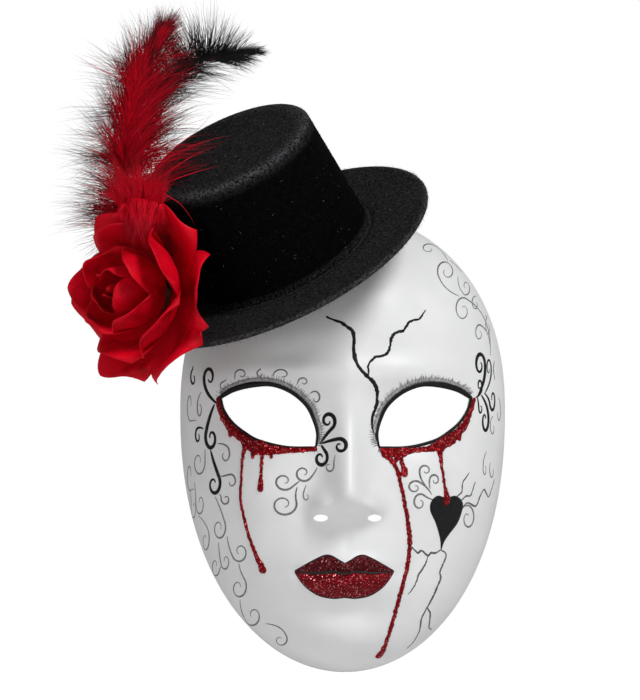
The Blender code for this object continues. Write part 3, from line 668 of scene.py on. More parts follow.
# ---------- painted strokes ----------
STROKE_PROFILE = ((-0.5, -0.14), (-0.5, 0.07), (0, 0.13), (0.5, 0.07), (0.5, -0.14))


def add_stroke(store, line, widths, proud=0.0):
    """A brush stroke, slightly proud of the face, along x and z in millimetres."""
    points, faces = store
    line = np.asarray(line, float) * MM
    centre, normal = on_face(line[:, 0], line[:, 1])
    run = np.gradient(centre, axis=0)
    run /= np.linalg.norm(run, axis=1, keepdims=True)
    across = np.cross(normal, run) * (np.asarray(widths, float) * MM)[:, None]
    rings = []
    for aside, lift in STROKE_PROFILE:
        edge = centre + across * aside
        rings.append(on_face(edge[:, 0], edge[:, 2], (lift + max(0, lift) / 0.13 * proud) * MM)[0])
    size, first = len(STROKE_PROFILE), len(points)
    points.extend(np.stack(rings, axis=1).reshape(-1, 3))
    for k in range(len(line) - 1):
        for j in range(size):
            a = first + k * size + j
            b = first + k * size + (j + 1) % size
            faces.append((a, a + size, b + size, b))
    last = first + (len(line) - 1) * size
    faces.append(tuple(first + j for j in range(size)))
    faces.append(tuple(last + j for j in range(size - 1, -1, -1)))


def curl(entry):
    """A stem that flows into a tightening spiral, with a stroke width for each point."""
    x0, z0, cx, cz, wide, tall, start, turns, width = entry
    run = np.linspace(0, 1, 30)
    angle = math.radians(start) + 2 * math.pi * turns * run
    shrink = 1 - 0.78 * run ** 1.2
    spiral = np.stack([cx + wide * shrink * np.cos(angle), cz + tall * shrink * np.sin(angle)], 1)
    heading = spiral[1] - spiral[0]
    heading /= np.linalg.norm(heading)
    root = np.array((x0, z0))
    bend = spiral[0] - heading * np.linalg.norm(spiral[0] - root) * 0.5
    t = np.linspace(0, 1, 10)[:-1, None]
    stem = (1 - t) ** 2 * root + 2 * t * (1 - t) * bend + t * t * spiral[0]
    line = np.vstack([stem, spiral])
    return line, width * taper(line, 0.3)


def taper(line, least, rise=0.8):
    """Stroke width along a line: thin at both ends, full in between."""
    length = np.concatenate([[0], np.cumsum(np.linalg.norm(np.diff(line, axis=0), axis=1))])
    return least + (1 - least) * np.sin(math.pi * (length / length[-1]) ** rise) ** 0.7


def stroke_piece(name, store, mat):
    piece = mesh_piece(name, store[0], store[1])
    return finish_piece(piece, (mat,))


def paint_curls(name, curls, mat, widen=1.0):
    for side_name, side in (("left", -1), ("right", 1)):
        store = ([], [])
        for entry in curls:
            if entry[2] * side > 0:
                line, widths = curl(entry)
                add_stroke(store, line, widths * widen)
        stroke_piece("%s_%s" % (name, side_name), store, mat)


def paint_lines(name, lines, mat, least, wobble):
    """Cracks: a jagged line with its width changing along it."""
    store = ([], [])
    rng = random.Random(4)
    for width, *places in lines:
        line = smooth_through(places, 5)
        line[1:-1] += [(rng.uniform(-1, 1) * wobble, rng.uniform(-1, 1) * wobble) for _ in line[2:]]
        uneven = np.array([rng.uniform(0.75, 1.25) for _ in line])
        add_stroke(store, line, width * taper(line, least) * uneven)
    return stroke_piece(name, store, mat)


def lid_line(side, steps=8):
    """The whole eye outline in millimetres, closed on itself, with its outward directions."""
    line = np.array(eye_outline(side, steps)) / MM
    ahead = np.roll(line, -1, axis=0) - np.roll(line, 1, axis=0)
    ahead /= np.linalg.norm(ahead, axis=1, keepdims=True)
    outward = np.stack([-ahead[:, 1], ahead[:, 0]], axis=1) * side
    return line, outward


def paint_eyes(black, grey, wash):
    for side_name, side in (("left", -1), ("right", 1)):
        line, outward = lid_line(side)
        place = np.linspace(0, len(LINER_WIDTHS) - 1, len(line))
        width = np.interp(place, range(len(LINER_WIDTHS)), LINER_WIDTHS)
        middle = line + outward * (width / 2 + 0.05)[:, None]
        loop = np.vstack([middle, middle[:2]])
        store = ([], [])
        add_stroke(store, loop, np.append(width, width[:2]), 0.5)
        stroke_piece("eye_liner_" + side_name, store, black)
        rng = random.Random(20 + side)
        upper = len(EYE_UPPER_LID) * 8 - 8
        lid = np.linspace(0, 1, upper - 2)
        band = line[2:upper] + outward[2:upper] * (width[2:upper] + 0.9)[:, None]
        store = ([], [])
        add_stroke(store, band, 2.4 * np.sin(math.pi * lid) ** 0.3 + 0.1)
        stroke_piece("lid_wash_" + side_name, store, wash)
        store = ([], [])
        for k in range(LASHES):
            along = (k + rng.uniform(-0.4, 0.4)) / (LASHES - 1)
            spot = min(upper, max(0, int(along * upper)))
            lean = np.array((side * rng.uniform(-0.15, 0.75), 0.0))
            out = outward[spot] + lean
            out /= np.linalg.norm(out)
            reach = rng.uniform(2.2, 3.9) + 1.3 * math.sin(math.pi * along) ** 0.6
            start = line[spot] + outward[spot] * (width[spot] * 0.6)
            steps = np.linspace(0, 1, 5)[:, None]
            sweep = np.array((side * rng.uniform(-0.3, 0.9), 0.0))
            hair = start + out * reach * steps + sweep * steps ** 2
            add_stroke(store, hair, rng.uniform(0.26, 0.46) * (1.05 - steps[:, 0] ** 1.5))
        stroke_piece("lash_marks_" + side_name, store, grey)


def filled_patch(name, outline, centre, rings, top, bottom):
    """A thin filled shape on the face: rings that shrink from its outline to its centre."""
    outline, centre = np.array(outline), np.array(centre)
    count = len(outline)
    shrink = 1 - np.arange(rings) / rings
    levels = [(centre + (outline - centre) * s, top) for s in shrink]
    points = [on_face(*(outline.T * MM), bottom * MM)[0]]
    points += [on_face(*(ring.T * MM), lift * MM)[0] for ring, lift in levels]
    points += [on_face(*(centre[:, None] * MM), top * MM)[0]]
    points += [on_face(*(centre[:, None] * MM), bottom * MM)[0]]
    faces = []
    for k in range(rings):
        for j in range(count):
            a, b = k * count + j, k * count + (j + 1) % count
            faces.append((a, b, b + count, a + count))
    tip, root = (rings + 1) * count, (rings + 1) * count + 1
    for j in range(count):
        after = (j + 1) % count
        faces.append((rings * count + j, rings * count + after, tip))
        faces.append((after, j, root))
    return mesh_piece(name, np.vstack(points), faces)


# ---------- glitter ----------
def ball(steps_round=10, steps_down=6):
    points, faces = [(0, 0, 1)], []
    for i in range(1, steps_down):
        down = math.pi * i / steps_down
        for j in range(steps_round):
            turn = 2 * math.pi * j / steps_round
            points.append((math.sin(down) * math.cos(turn), math.sin(down) * math.sin(turn),
                           math.cos(down)))
    points.append((0, 0, -1))
    last = len(points) - 1
    for j in range(steps_round):
        after = (j + 1) % steps_round
        faces.append((0, 1 + j, 1 + after))
        for i in range(steps_down - 2):
            a, b = 1 + i * steps_round + j, 1 + i * steps_round + after
            faces.append((a, a + steps_round, b + steps_round, b))
        low = 1 + (steps_down - 2) * steps_round
        faces.append((last, low + after, low + j))
    return np.array(points), faces


def glitter_tears(name, spines, tips, mat, replaces, seed):
    """Overlapping flat blobs of glitter gel along each run, melted into one skin."""
    rng = random.Random(seed)
    form, form_faces = ball()
    points, faces = [], []
    blobs = []
    for spine in spines:
        line = smooth_through(spine, 26)
        spread = np.cumsum(np.linalg.norm(np.diff(line[:, :2], axis=0), axis=1))
        count = int(spread[-1] / 0.55)
        picks = np.linspace(0, len(line) - 1, count).astype(int)
        for pick in picks:
            x, z, width = line[pick]
            half = width / 2 * rng.uniform(0.82, 1.14)
            blobs.append((x + rng.uniform(-0.1, 0.1) * width, z + rng.uniform(-0.1, 0.1) * width,
                          half * 0.95, half * rng.uniform(0.9, 1.15)))
    for x, z, width in tips:
        blobs.append((x, z, width / 2, width * 0.7))
        blobs.append((x, z + width * 0.8, width * 0.62, width))
    for x, z, wide, tall in blobs:
        centre, normal = on_face(x * MM, z * MM, 0.1 * MM)
        out = Vector(normal)
        across = Vector((1, 0, 0)) - out * out.x
        across.normalize()
        up = out.cross(across)
        basis = np.array((across * -wide, up * -tall, out * rng.uniform(0.55, 0.95))) * MM
        first = len(points)
        points.extend(form @ basis + centre)
        faces.extend(tuple(first + i for i in face) for face in form_faces)
    piece = mesh_piece(name, points, faces)
    melt = piece.modifiers.new("melt", "REMESH")
    melt.mode = "VOXEL"
    melt.voxel_size = GLITTER_GRAIN
    melt.use_smooth_shade = True
    smooth = piece.modifiers.new("smooth", "SMOOTH")
    smooth.iterations = 2
    apply_modifiers(piece)
    return finish_piece(piece, (mat,), (replaces,))


def lip(name, edge, drop, dome, mat, replaces):
    """A domed coat between the line of the mouth and a lip's outer edge."""
    cols, rows = 72, 14
    outer, inner = smooth_through(edge, 12), smooth_through(MOUTH_LINE, 12)
    place = np.linspace(-1, 1, cols + 1)
    reach = MOUTH_LINE[0][0] * np.sin(place * math.pi / 2)
    top = np.interp(np.abs(reach), outer[::-1, 0], outer[::-1, 1])
    low = np.interp(np.abs(reach), inner[::-1, 0], inner[::-1, 1]) + drop
    points, faces = [], []
    for sunk in (False, True):
        for i in range(rows + 1):
            t = i / rows
            z = low + (top - low) * t
            full = np.clip(np.abs(top - low) / 4, 0, 1)
            lift = -0.25 if sunk else 0.04 + dome * full * (4 * t * (1 - t)) ** 0.55
            lift = np.broadcast_to(lift, z.shape) * MM
            points.append(on_face((reach + LIP_SHIFT) * MM, z * MM, lift)[0])
    points = np.vstack(points)
    wide, layer = cols + 1, (rows + 1) * (cols + 1)
    for i in range(rows):
        for j in range(cols):
            a = i * wide + j
            quad = (a, a + 1, a + wide + 1, a + wide)
            under = tuple(layer + k for k in quad[::-1])
            faces.extend((quad, under))
    border = [(i, i + 1) for i in range(cols)]
    border += [(i * wide + cols, (i + 1) * wide + cols) for i in range(rows)]
    border += [(rows * wide + i + 1, rows * wide + i) for i in range(cols)]
    border += [((i + 1) * wide, i * wide) for i in range(rows)]
    for a, b in border:
        faces.append((b, a, layer + a, layer + b))
    if drop < 0:
        faces = [face[::-1] for face in faces]
    piece = mesh_piece(name, points, faces)
    return finish_piece(piece, (mat,), (replaces,))


def lip_outline_and_mouth_shade(mat):
    store = ([], [])
    for edge, rise in ((UPPER_LIP, 0.1), (LOWER_LIP, -0.15)):
        half = smooth_through(edge, 6)
        whole = np.vstack([half * (-1, 1), half[::-1][1:]]) + (LIP_SHIFT, rise)
        add_stroke(store, whole, 0.75 * taper(whole, 0.5))
    # a dark band along the line of the mouth: painted shadow between the lips
    line = smooth_through(MOUTH_LINE, 5)
    whole = np.vstack([line * (-1, 1), line[::-1][1:]]) + (LIP_SHIFT, 0)
    add_stroke(store, whole, 1.5 * taper(whole, 0.3), 0.42)
    return stroke_piece("lip_liner_and_mouth_shade", store, mat)


def make_face_paint():
    black, grey = black_paint(), black_paint("grey_paint", 0.075)
    light_grey = black_paint("light_grey_paint", 0.13)
    wash = black_paint("grey_wash", 0.24)
    paint_curls("bold_scrolls", BOLD_CURLS, black, 1.2)
    paint_curls("fine_scrolls", GREY_CURLS, light_grey)
    paint_lines("fine_cracks", GREY_LINES, grey, 0.45, 0.1)
    paint_lines("forehead_cracks", CRACKS, black, 0.45, 0.22)
    paint_eyes(black, grey, wash)
    outline = smooth_through(HEART + HEART[:1], 5)[:-1]
    heart = filled_patch("painted_heart", outline, HEART_CENTRE, 6, 0.14, -0.14)
    finish_piece(heart, (black,))
    # each glitter's last colour is its painted glint
    red = glitter("tear_glitter", (0.035, 0.0, 0.001), (0.32, 0.001, 0.006), (1.0, 0.26, 0.26), 2300)
    wine = glitter("lip_glitter", (0.02, 0.0, 0.002), (0.26, 0.003, 0.009), (0.9, 0.3, 0.3), 2300)
    satin = glitter("upper_lip_glitter_paint", (0.016, 0.001, 0.002), (0.13, 0.004, 0.009),
                    (0.5, 0.25, 0.25), 2600)
    glitter_tears("tears_left", (LEFT_BAND, LEFT_LONG_TEAR, LEFT_SHORT_TEAR), LEFT_DRIP_TIPS,
                  red, "glitter_tears_left", 5)
    glitter_tears("tears_right", (RIGHT_BAND, HEART_TEAR, RIGHT_SHORT_TEAR, RIGHT_LONG_TEAR),
                  RIGHT_DRIP_TIPS, red, "glitter_tears_right", 6)
    lip("upper_lip", UPPER_LIP, 0.05, 0.45, satin, "upper_lip_glitter")
    lip("lower_lip", LOWER_LIP, -0.05, 0.6, wine, "lower_lip_glitter")
    lip_outline_and_mouth_shade(black_paint("lip_liner_paint_and_mouth_shade", 0.016))


# ---------- hat ----------
def turned(name, profile, sides, place):
    """A closed profile of (radius, height) laid out on a ring of points and spun round."""
    deselect_all()
    bpy.ops.mesh.primitive_circle_add(vertices=len(profile))
    piece = named(name)
    set_points(piece, [(r, 0, h) for r, h in profile])
    bpy.ops.object.mode_set(mode="EDIT")
    bpy.ops.mesh.select_all(action="SELECT")
    bpy.ops.mesh.spin(steps=sides, angle=2 * math.pi, center=(0, 0, 0), axis=(0, 0, 1))
    bpy.ops.mesh.select_all(action="SELECT")
    bpy.ops.mesh.remove_doubles(threshold=0.00002)
    bpy.ops.mesh.normals_make_consistent(inside=False)
    bpy.ops.object.mode_set(mode="OBJECT")
    local = get_points(piece)
    radius = np.hypot(local[:, 0], local[:, 1])
    wear_and_painted_light = piece.data.attributes.new("wear_and_painted_light", "FLOAT", "POINT")
    fold = (CROWN_TOP_RADIUS - CROWN_ROUNDING * 0.3, CROWN_HEIGHT - CROWN_ROUNDING * 0.3)
    wear_and_painted_light_level = np.zeros(len(local))
    # lighter felt rubbed along the crown's top fold and the brim's edge, and a painted highlight along
    # the crown's base
    for r, h, reach in ((*fold, 2.4 * MM), (BRIM_RADIUS, FELT / 2 + BRIM_DISH, 1.6 * MM),
                        (CROWN_BASE_RADIUS, FELT, 1.5 * MM)):
        wear_and_painted_light_level += np.exp(-((radius - r) ** 2 + (local[:, 2] - h) ** 2) / reach ** 2)
    # painted light from above: the felt is made lighter where it faces up
    on_crown_top = local[:, 2] > CROWN_HEIGHT - 0.6 * MM
    on_brim_top = (local[:, 2] > FELT * 0.8) & (radius > CROWN_BASE_RADIUS + 2 * MM)
    wear_and_painted_light_level += FACING_UP_PAINTED_LIGHT * (on_crown_top | on_brim_top)
    wear_and_painted_light.data.foreach_set("value", np.clip(wear_and_painted_light_level, 0, 1))
    piece.data.transform(place)
    piece.data.shade_smooth()
    return piece


def arc(cx, cy, radius, start, end, steps):
    angles = [math.radians(start + (end - start) * k / steps) for k in range(steps + 1)]
    return [(cx + radius * math.cos(t), cy + radius * math.sin(t)) for t in angles]


def make_hat(felt_mat):
    place = frame_on(HAT_SEAT, HAT_AXIS)
    edge = FELT / 2
    lip = BRIM_RADIUS - edge
    out = [BRIM_HOLE + (lip - BRIM_HOLE) * k / 16 for k in range(17)]
    rise = [BRIM_DISH * ((r - BRIM_HOLE) / (lip - BRIM_HOLE)) ** 2 for r in out]
    brim = ([(r, h) for r, h in zip(out, rise)]
            + arc(lip, edge + BRIM_DISH, edge, -60, 60, 6)
            + [(r, h + FELT) for r, h in zip(out[::-1], rise[::-1])])
    piece = turned("hat_brim_felt", brim, HAT_SIDES, place)
    finish_piece(piece, (felt_mat,), ("hat_brim",))
    low = FELT + 0.1 * MM
    shoulder = CROWN_TOP_RADIUS - CROWN_ROUNDING
    up = [low + (CROWN_HEIGHT - CROWN_ROUNDING - low) * k / 14 for k in range(15)]
    side = [CROWN_BASE_RADIUS + (CROWN_TOP_RADIUS - CROWN_BASE_RADIUS) * k / 14 for k in range(15)]
    inner = [(r - CROWN_WALL, h) for r, h in zip(side[::-1], up[::-1])]
    crown = ([(r, h) for r, h in zip(side, up)][:-1]
             + arc(shoulder, CROWN_HEIGHT - CROWN_ROUNDING, CROWN_ROUNDING, 0, 90, 6)
             + [(shoulder * k / 8, CROWN_HEIGHT - 0.4 * MM * (1 - (k / 8) ** 4))
                for k in range(7, -1, -1)]
             + [(shoulder * k / 4, CROWN_HEIGHT - CROWN_WALL - 0.4 * MM) for k in range(0, 4)]
             + inner)
    piece = turned("hat_crown_felt", crown, HAT_SIDES, place)
    finish_piece(piece, (felt_mat,), ("hat_crown",))


# ---------- rose ----------
def bezier(points, t):
    a, b, c, d = (np.array(p, float) for p in points)
    t = np.asarray(t)[..., None]
    return (1 - t) ** 3 * a + 3 * (1 - t) ** 2 * t * b + 3 * (1 - t) * t * t * c + t ** 3 * d


def sheet_area(points):
    """The cloth in a grid of points: its cells' areas, which curling it up doesn't change."""
    one = np.cross(points[1:, 1:] - points[:-1, :-1], points[1:, :-1] - points[:-1, 1:])
    return float(np.linalg.norm(one, axis=2).sum() / 2)


def cloth_grid(name, points, place, mat, replaces, cloth=PETAL_CLOTH):
    """A sheet laid over a grid of points, given its thickness; returns its cut size and its area."""
    rows, cols = points.shape[0] - 1, points.shape[1] - 1
    deselect_all()
    bpy.ops.mesh.primitive_grid_add(x_subdivisions=cols, y_subdivisions=rows, size=2)
    piece = named(name)
    set_points(piece, points.reshape(-1, 3))
    piece.data.transform(place)
    across = np.linalg.norm(np.diff(points, axis=1), axis=2).sum(axis=1)
    along = np.linalg.norm(np.diff(points, axis=0), axis=2).sum(axis=0)
    solidify(piece, cloth, 0.0)
    piece.data.shade_smooth()
    finish_piece(piece, (mat,), (replaces,))
    return piece, (float(across.max()), float(along.max())), sheet_area(points)


def petal_points(profile, middle, spread, roll, nod, point, rng):
    """Rows from root to tip: a cupped blade with a pointed tip, rolled sides and a soft ruffle."""
    v = np.linspace(-1, 1, PETAL_CELLS + 1)[None, :]
    u = np.linspace(0, 1, PETAL_CELLS + 1)[:, None]
    skew, ruffle, phase = rng.uniform(-0.12, 0.12), rng.uniform(0.5, 1.3), rng.uniform(0, 6)
    t = u * (1 - point * np.abs(v) ** 1.5) * (1 + skew * v * u)
    r, h = np.moveaxis(bezier(profile, t), -1, 0)
    width = 0.94 + 0.12 * np.sin(math.pi * u ** 0.85) - 0.24 * u ** 6
    turn = middle + spread * v * width
    late = np.clip((u - 0.45) / 0.55, 0, 1)
    side = np.clip((np.abs(v) - 0.45) / 0.55, 0, 1)
    r = r + roll * late * side ** 2 + nod * late ** 3 * (1 - 0.5 * np.abs(v))
    h = h - 0.5 * roll * late * side ** 2 * np.abs(v) - 0.8 * nod * late ** 3
    wave = np.sin(4 * v + phase) * late * ruffle
    r = r + wave
    h = h + 0.6 * np.cos(3 * v + phase) * late * ruffle
    crease = 0.5 * np.exp(-(v / 0.08) ** 2) * np.sin(math.pi * u)
    r = r - crease
    return np.stack([r * np.cos(turn), r * np.sin(turn), h + 0 * turn], axis=-1) * MM


def make_rose():
    velvet = rose_velvet("petal_velvet", (0.33, 0.0, 0.003), (0.68, 0.0, 0.013))
    # the bud deep in the cup takes a darker copy of the petal velvet: painted shade
    deep = rose_velvet("bud_velvet_painted_shade", (0.24, 0.0, 0.002), (0.50, 0.0, 0.008))
    place = frame_on(ROSE_BASE, ROSE_AXIS, Vector((0, 0, 1)))
    rng = random.Random(11)
    number = 0
    for count, profile, offset, roll, nod, point in PETAL_RINGS:
        spread = 1.12 * math.pi / count
        for k in range(count):
            number += 1
            middle = 2 * math.pi * (k + offset) / count + rng.uniform(-0.06, 0.06)
            points = petal_points(profile, middle, spread, roll, nod, point, rng)
            name = "petal_cloth_%02d" % number
            petal, flat, area = cloth_grid(name, points, place, velvet,
                                           "rose_petal_%02d" % number)
    turn = np.linspace(0, 2.6 * 2 * math.pi, 110)[None, :]
    u = np.linspace(0, 1, 13)[:, None]
    radius = (1.0 + 4.6 * turn / turn.max()) * (0.72 + 0.5 * np.sin(math.pi * u ** 0.8) - 0.18 * u)
    top = 30 + 5.5 * np.cos(turn * 1.15) * turn / turn.max() + 2
    height = 5 + (top - 5) * u
    points = np.stack([radius * np.cos(turn), radius * np.sin(turn), height], axis=-1) * MM
    bud, flat, area = cloth_grid("rolled_bud", points, place, deep, "rose_bud", 0.35 * MM)
    make_calyx(place)


def make_calyx(place):
    """A ribbed green cup."""
    turn = np.linspace(0, 2 * math.pi, 80, endpoint=False)
    levels = ((0.0, -9.6), (3.5, -9.6), (6.4, -8.6), (7.4, -6), (8.6, -4.6), (9.4, -3.2))
    inner = ((7.6, -1.4), (4, 1.6), (0.0, 1.6))
    points, faces = [], []
    for r, h in levels + inner:
        ribs = 1 + 0.035 * np.cos(10 * turn) * (r > 5)
        points.append(np.stack([r * ribs * np.cos(turn), r * ribs * np.sin(turn), h + 0 * turn], 1))
    count = len(turn)
    for k in range(len(levels) + len(inner) - 1):
        for j in range(count):
            a, b = k * count + j, k * count + (j + 1) % count
            faces.append((a, b, b + count, a + count))
    piece = mesh_piece("green_calyx", np.vstack(points) * MM, faces)
    deselect_all()
    piece.select_set(True)
    bpy.context.view_layer.objects.active = piece
    bpy.ops.object.mode_set(mode="EDIT")
    bpy.ops.mesh.select_all(action="SELECT")
    bpy.ops.mesh.remove_doubles(threshold=0.00001)
    bpy.ops.mesh.normals_make_consistent(inside=False)
    bpy.ops.object.mode_set(mode="OBJECT")
    piece.data.transform(place)
    finish_piece(piece, (calyx_green(),), ("rose_calyx",))


# ---------- feathers and felt nap ----------
def hairs(name, paths, radii, mats, replaces=(), shade=None):
    """Many tapered three-sided hairs in one mesh; UV holds place along each, and a random."""
    count, steps, _ = paths.shape
    run = np.gradient(paths, axis=1)
    run /= np.linalg.norm(run, axis=2, keepdims=True) + 1e-12
    first = np.cross(run, (0.31, 0.9, 0.29))
    first /= np.linalg.norm(first, axis=2, keepdims=True) + 1e-12
    second = np.cross(run, first)
    rings = []
    for turn in (0, 2.0944, 4.1888):
        rings.append(paths + (first * math.cos(turn) + second * math.sin(turn)) * radii[..., None])
    body = np.stack(rings, axis=2)[:, :-1].reshape(count, -1, 3)
    points = np.concatenate([body, paths[:, -1:]], axis=1)
    per = points.shape[1]
    form = []
    for k in range(steps - 2):
        for j in range(3):
            a, b = k * 3 + j, k * 3 + (j + 1) % 3
            form += [(a, b, b + 3), (a, b + 3, a + 3)]
    low = (steps - 2) * 3
    form += [(low + j, low + (j + 1) % 3, per - 1) for j in range(3)] + [(2, 1, 0)]
    form = np.array(form)
    faces = (form[None] + np.arange(count)[:, None, None] * per).reshape(-1, 3)
    mesh = bpy.data.meshes.new(name)
    mesh.from_pydata(points.reshape(-1, 3).tolist(), [], faces.tolist())
    along = np.append(np.repeat(np.linspace(0, 1, steps)[:-1], 3), 1.0)
    shade = np.random.default_rng(3).random(count) if shade is None else shade
    uv = np.stack([np.broadcast_to(along, (count, per)),
                   np.broadcast_to(shade[:, None], (count, per))], axis=-1).reshape(-1, 2)
    layer = mesh.uv_layers.new(name="along")
    layer.data.foreach_set("uv", uv[faces.ravel()].ravel())
    piece = bpy.data.objects.new(name, mesh)
    bpy.context.scene.collection.objects.link(piece)
    mesh.shade_smooth()
    return finish_piece(piece, mats, replaces)


def barb_paths(quill, outer, inner, count, inner_share, rng, short=False, crowding=0.9):
    """Curved barbs leaving the quill on both sides, in tufts that share a direction."""
    line = smooth_through(quill, 12)
    run = np.gradient(line, axis=0)
    run /= np.linalg.norm(run, axis=1, keepdims=True)
    tufts = count // 9
    tuft_place = np.sort(rng.random(tufts) ** crowding)
    tuft = rng.integers(0, tufts, count)
    s = 0.1 + 0.9 * np.clip(tuft_place[tuft] + rng.normal(0, 0.012, count), 0, 1)
    spot = s * (len(line) - 1)
    base = np.stack([np.interp(spot, range(len(line)), line[:, i]) for i in range(3)], 1)
    ahead = np.stack([np.interp(spot, range(len(line)), run[:, i]) for i in range(3)], 1)
    side_of_tuft = np.where(rng.random(tufts) < inner_share, 1.0, -1.0)
    side = side_of_tuft[tuft]
    angle, length = np.zeros(count), np.zeros(count)
    for way, table in ((-1, outer), (1, inner)):
        rows = np.array(table)
        mine = side == way
        angle[mine] = np.interp(s[mine], rows[:, 0], rows[:, 1])
        length[mine] = np.interp(s[mine], rows[:, 0], rows[:, 2])
    angle = np.radians(angle + rng.normal(0, 13, tufts)[tuft] + rng.normal(0, 3.5, count))
    depth = rng.normal(0, 0.4, tufts)[tuft] + rng.normal(0, 0.1, count)
    away = np.cross(ahead, (0.0, -1.0, 0.0))
    away = -away / np.linalg.norm(away, axis=1, keepdims=True)
    sideways = away * side[:, None] * np.cos(depth)[:, None]
    sideways += np.array((0, -1, 0)) * np.sin(depth)[:, None]
    heading = ahead * np.cos(angle)[:, None] + sideways * np.sin(angle)[:, None]
    length = length * rng.uniform(0.72, 1.08, tufts)[tuft] * rng.uniform(0.8, 1.05, count)
    if short:
        length = length * rng.uniform(0.2, 0.5, count)
    bow = rng.normal(-0.10, 0.16, tufts)[tuft] + rng.normal(0, 0.04, count)
    t = np.linspace(0, 1, 6)[None, :, None]
    lean = sideways * bow[:, None]
    bend = lean - ahead * (0.05 + 0.25 * np.abs(bow))[:, None] + np.array((0, 0, -0.06))
    swing = rng.normal(0, 0.02, (count, 3))[:, None] * np.sin(2 * math.pi * t)
    sweep = heading[:, None] * t + bend[:, None] * t ** 2 + swing
    return base[:, None] + sweep * length[:, None, None]


def make_feather(name, quill, outer, inner, counts, inner_share, crowding, mats, replaces,
                 seed, extra=()):
    rng = np.random.default_rng(seed)
    long_barbs = barb_paths(quill, outer, inner, counts[0], inner_share, rng, False, crowding)
    core = barb_paths(quill, outer, inner, counts[1], 0.5, rng, True, crowding)
    paths = np.concatenate([long_barbs, core, *extra])
    thin = 1 - 0.85 * np.linspace(0, 1, 6) ** 1.3
    radii = rng.uniform(*BARB_RADII, len(paths))[:, None] * thin[None]
    shade = rng.random(len(paths))
    shade[len(long_barbs) + len(core):] *= 0.2
    if extra:
        radii[-len(extra[-1]):] *= STRAY_THICKNESS
    hairs(name, paths * MM, radii * MM, mats[:1], replaces, shade)
    line = smooth_through(quill, 6)
    thick = np.linspace(1.1, 0.25, len(line))[None]
    hairs(name + "_quill", line[None] * MM, thick * MM, mats[1:])


def make_feathers():
    red = feather_down("red_down", (0.78, 0.0, 0.020), (0.012, 0.006, 0.007), 0.66)
    black = feather_down("black_down", (0.006, 0.006, 0.0065), (0.02, 0.02, 0.021), 0.9)
    red_shaft = feather_down("red_shaft", (0.3, 0.002, 0.006), (0.1, 0.004, 0.006), 0.9)
    black_shaft = feather_down("black_shaft", (0.01, 0.01, 0.01), (0.02, 0.02, 0.02), 0.9)
    rng = np.random.default_rng(23)
    fluff = barb_paths(RED_FLUFF, RED_FLUFF_BARBS, RED_FLUFF_BARBS, FLUFF_BARBS, 0.5, rng)
    strays = np.array([smooth_through(stray, 5)[::3] for stray in RED_STRAYS])
    make_feather("red_marabou", RED_QUILL, RED_OUTER_BARBS, RED_INNER_BARBS, RED_BARBS, 0.4, 1.5,
                 (red, red_shaft), ("red_feather",), 21, (fluff, strays))
    make_feather("black_marabou", BLACK_QUILL, BLACK_OUTER_BARBS, BLACK_INNER_BARBS, BLACK_BARBS,
                 0.45, 1.0, (black, black_shaft), ("black_feather",), 22)


def nap(name, spots, normals, along, count_seed, mats):
    """Short felt fibres that lie nearly flat on the cloth, here and there standing up."""
    rng = np.random.default_rng(count_seed)
    count = len(spots)
    across = np.cross(normals, along)
    turn = rng.uniform(0, 2 * math.pi, count)
    flat = along * np.cos(turn)[:, None] + across * np.sin(turn)[:, None]
    rise = rng.uniform(0.1, 0.5, count)[:, None]
    length = rng.uniform(0.7, 1.9, count)[:, None, None] * MM
    t = np.linspace(0, 1, 4)[None, :, None]
    curl_way = rng.normal(0, 0.35, (count, 1, 1))
    paths = (flat[:, None] * t + normals[:, None] * rise[:, None] * (t * (1.5 - t))
             + np.cross(normals, flat)[:, None] * curl_way * t ** 2)
    paths = spots[:, None] - normals[:, None] * 0.05 * MM + paths * length
    radii = np.broadcast_to(np.array((0.045, 0.04, 0.03, 0.01)) * MM, (count, 4))
    hairs(name, paths, radii, mats)


def make_nap(mat):
    place = frame_on(HAT_SEAT, HAT_AXIS)
    turn_m, shift = np.array(place.to_3x3()), np.array(place.translation)
    rng = np.random.default_rng(8)
    count = NAP_FIBRES
    angle = rng.uniform(0, 2 * math.pi, count)
    ring = np.stack([np.cos(angle), np.sin(angle), 0 * angle], 1)
    up = np.array((0.0, 0.0, 1.0))
    h = rng.uniform(4 * MM, CROWN_HEIGHT - 2 * MM, count)
    r = np.interp(h, (2.5 * MM, CROWN_HEIGHT - CROWN_ROUNDING), (CROWN_BASE_RADIUS, CROWN_TOP_RADIUS))
    side = ring * r[:, None] + up * h[:, None]
    upwards = np.broadcast_to(turn_m @ up, ring.shape)
    nap("nap_crown_side", side @ turn_m.T + shift, ring @ turn_m.T, upwards, 1, (mat,))
    r = (CROWN_TOP_RADIUS - 2 * MM) * np.sqrt(rng.random(count // 2))
    flat = ring[:count // 2] * r[:, None] + up * (CROWN_HEIGHT - 0.05 * MM)
    normals = np.broadcast_to(turn_m @ up, flat.shape)
    nap("nap_crown_top", flat @ turn_m.T + shift, normals, ring[:count // 2] @ turn_m.T, 2, (mat,))
    r = np.sqrt(rng.uniform((CROWN_BASE_RADIUS + MM) ** 2, (BRIM_RADIUS - MM) ** 2, count))
    rise = FELT + BRIM_DISH * ((r - BRIM_HOLE) / (BRIM_RADIUS - BRIM_HOLE)) ** 2
    brim = ring * r[:, None] + up * rise[:, None]
    normals = np.broadcast_to(turn_m @ up, brim.shape)
    nap("nap_brim", brim @ turn_m.T + shift, normals, ring @ turn_m.T, 3, (mat,))
    edge = ring * (BRIM_RADIUS - 0.1 * MM) + up * (BRIM_DISH + FELT * rng.random(count)[:, None])
    edge, out = edge[:NAP_EDGE_FIBRES], ring[:NAP_EDGE_FIBRES]
    nap("nap_brim_edge", edge @ turn_m.T + shift, out @ turn_m.T, np.cross(out, up) @ turn_m.T, 4,
        (mat,))


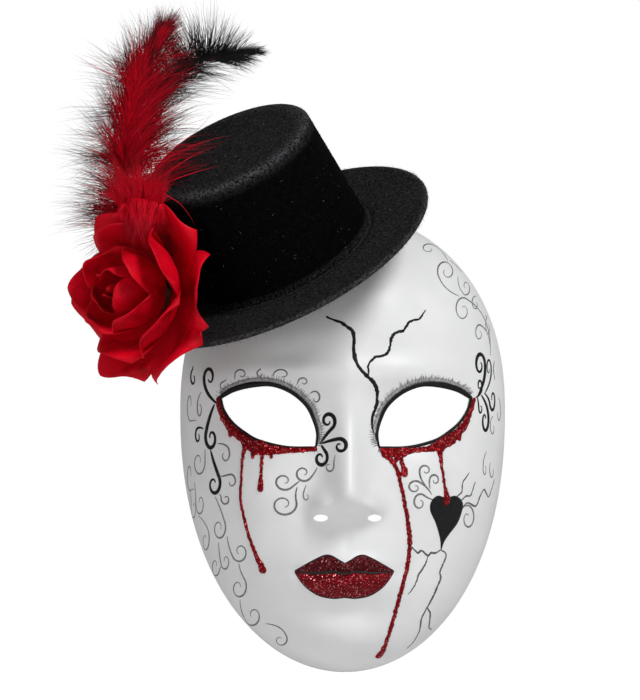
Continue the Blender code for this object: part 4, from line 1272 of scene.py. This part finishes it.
# ---------- stage, light and camera ----------
def make_stage():
    deselect_all()
    bpy.ops.mesh.primitive_plane_add(size=8, location=(0, 0, -0.16))
    floor = named("floor")
    mat, nodes, shader = new_material("pale_floor", 0.9)
    seen = nodes.add("ShaderNodeLightPath").outputs["Is Camera Ray"]
    nodes.link(nodes.math("MULTIPLY", seen, 0.75), shader.inputs["Emission Strength"])
    shader.inputs["Base Color"].default_value = (0.9, 0.9, 0.9, 1)
    shader.inputs["Emission Color"].default_value = (1, 1, 1, 1)
    floor.data.materials.append(mat)
    world = bpy.data.worlds.new("studio")
    world.use_nodes = True
    nodes = Nodes(world.node_tree)
    seen = nodes.add("ShaderNodeLightPath").outputs["Is Camera Ray"]
    strength = nodes.math("MULTIPLY_ADD", seen, 1.0 - WORLD_LIGHT)
    strength.node.inputs[2].default_value = WORLD_LIGHT
    nodes.link(strength, world.node_tree.nodes["Background"].inputs["Strength"])
    world.node_tree.nodes["Background"].inputs["Color"].default_value = (1, 1, 1, 1)
    bpy.context.scene.world = world


def area_light(name, place, size, power, aim=AIM):
    data = bpy.data.lights.new(name, "AREA")
    data.shape = "DISK"
    data.size = size
    data.energy = power
    lamp = bpy.data.objects.new(name, data)
    lamp.location = place
    lamp.rotation_euler = (Vector(place) - aim).to_track_quat("Z", "Y").to_euler()
    bpy.context.scene.collection.objects.link(lamp)


def make_camera():
    data = bpy.data.cameras.new("camera")
    data.sensor_width = 36
    data.lens = 36 * CAMERA_DISTANCE / VIEW_HEIGHT
    camera = bpy.data.objects.new("camera", data)
    level = math.cos(CAMERA_RISE)
    away = Vector((math.sin(CAMERA_TURN) * level, -math.cos(CAMERA_TURN) * level, math.sin(CAMERA_RISE)))
    camera.location = AIM + away * CAMERA_DISTANCE
    camera.rotation_euler = away.to_track_quat("Z", "Y").to_euler()
    bpy.context.scene.collection.objects.link(camera)
    bpy.context.scene.camera = camera


make_camera()
make_stage()
for lamp in LAMPS:
    area_light(*lamp)
make_mask(shell_paint(), black_paint("liner_paint"))
make_face_paint()
make_hat(felt())
make_nap(nap_fibre())
make_rose()
make_feathers()
glue, anchor = hot_melt(), anchor_plastic()
for name, mat in (("hat_glue_dab_1", glue), ("hat_glue_dab_2", glue), ("hat_glue_dab_3", glue),
                  ("rose_glue_dab", glue),
                  ("strap_anchor_left", anchor), ("strap_anchor_right", anchor)):
    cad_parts[name].material_slots[0].material = mat
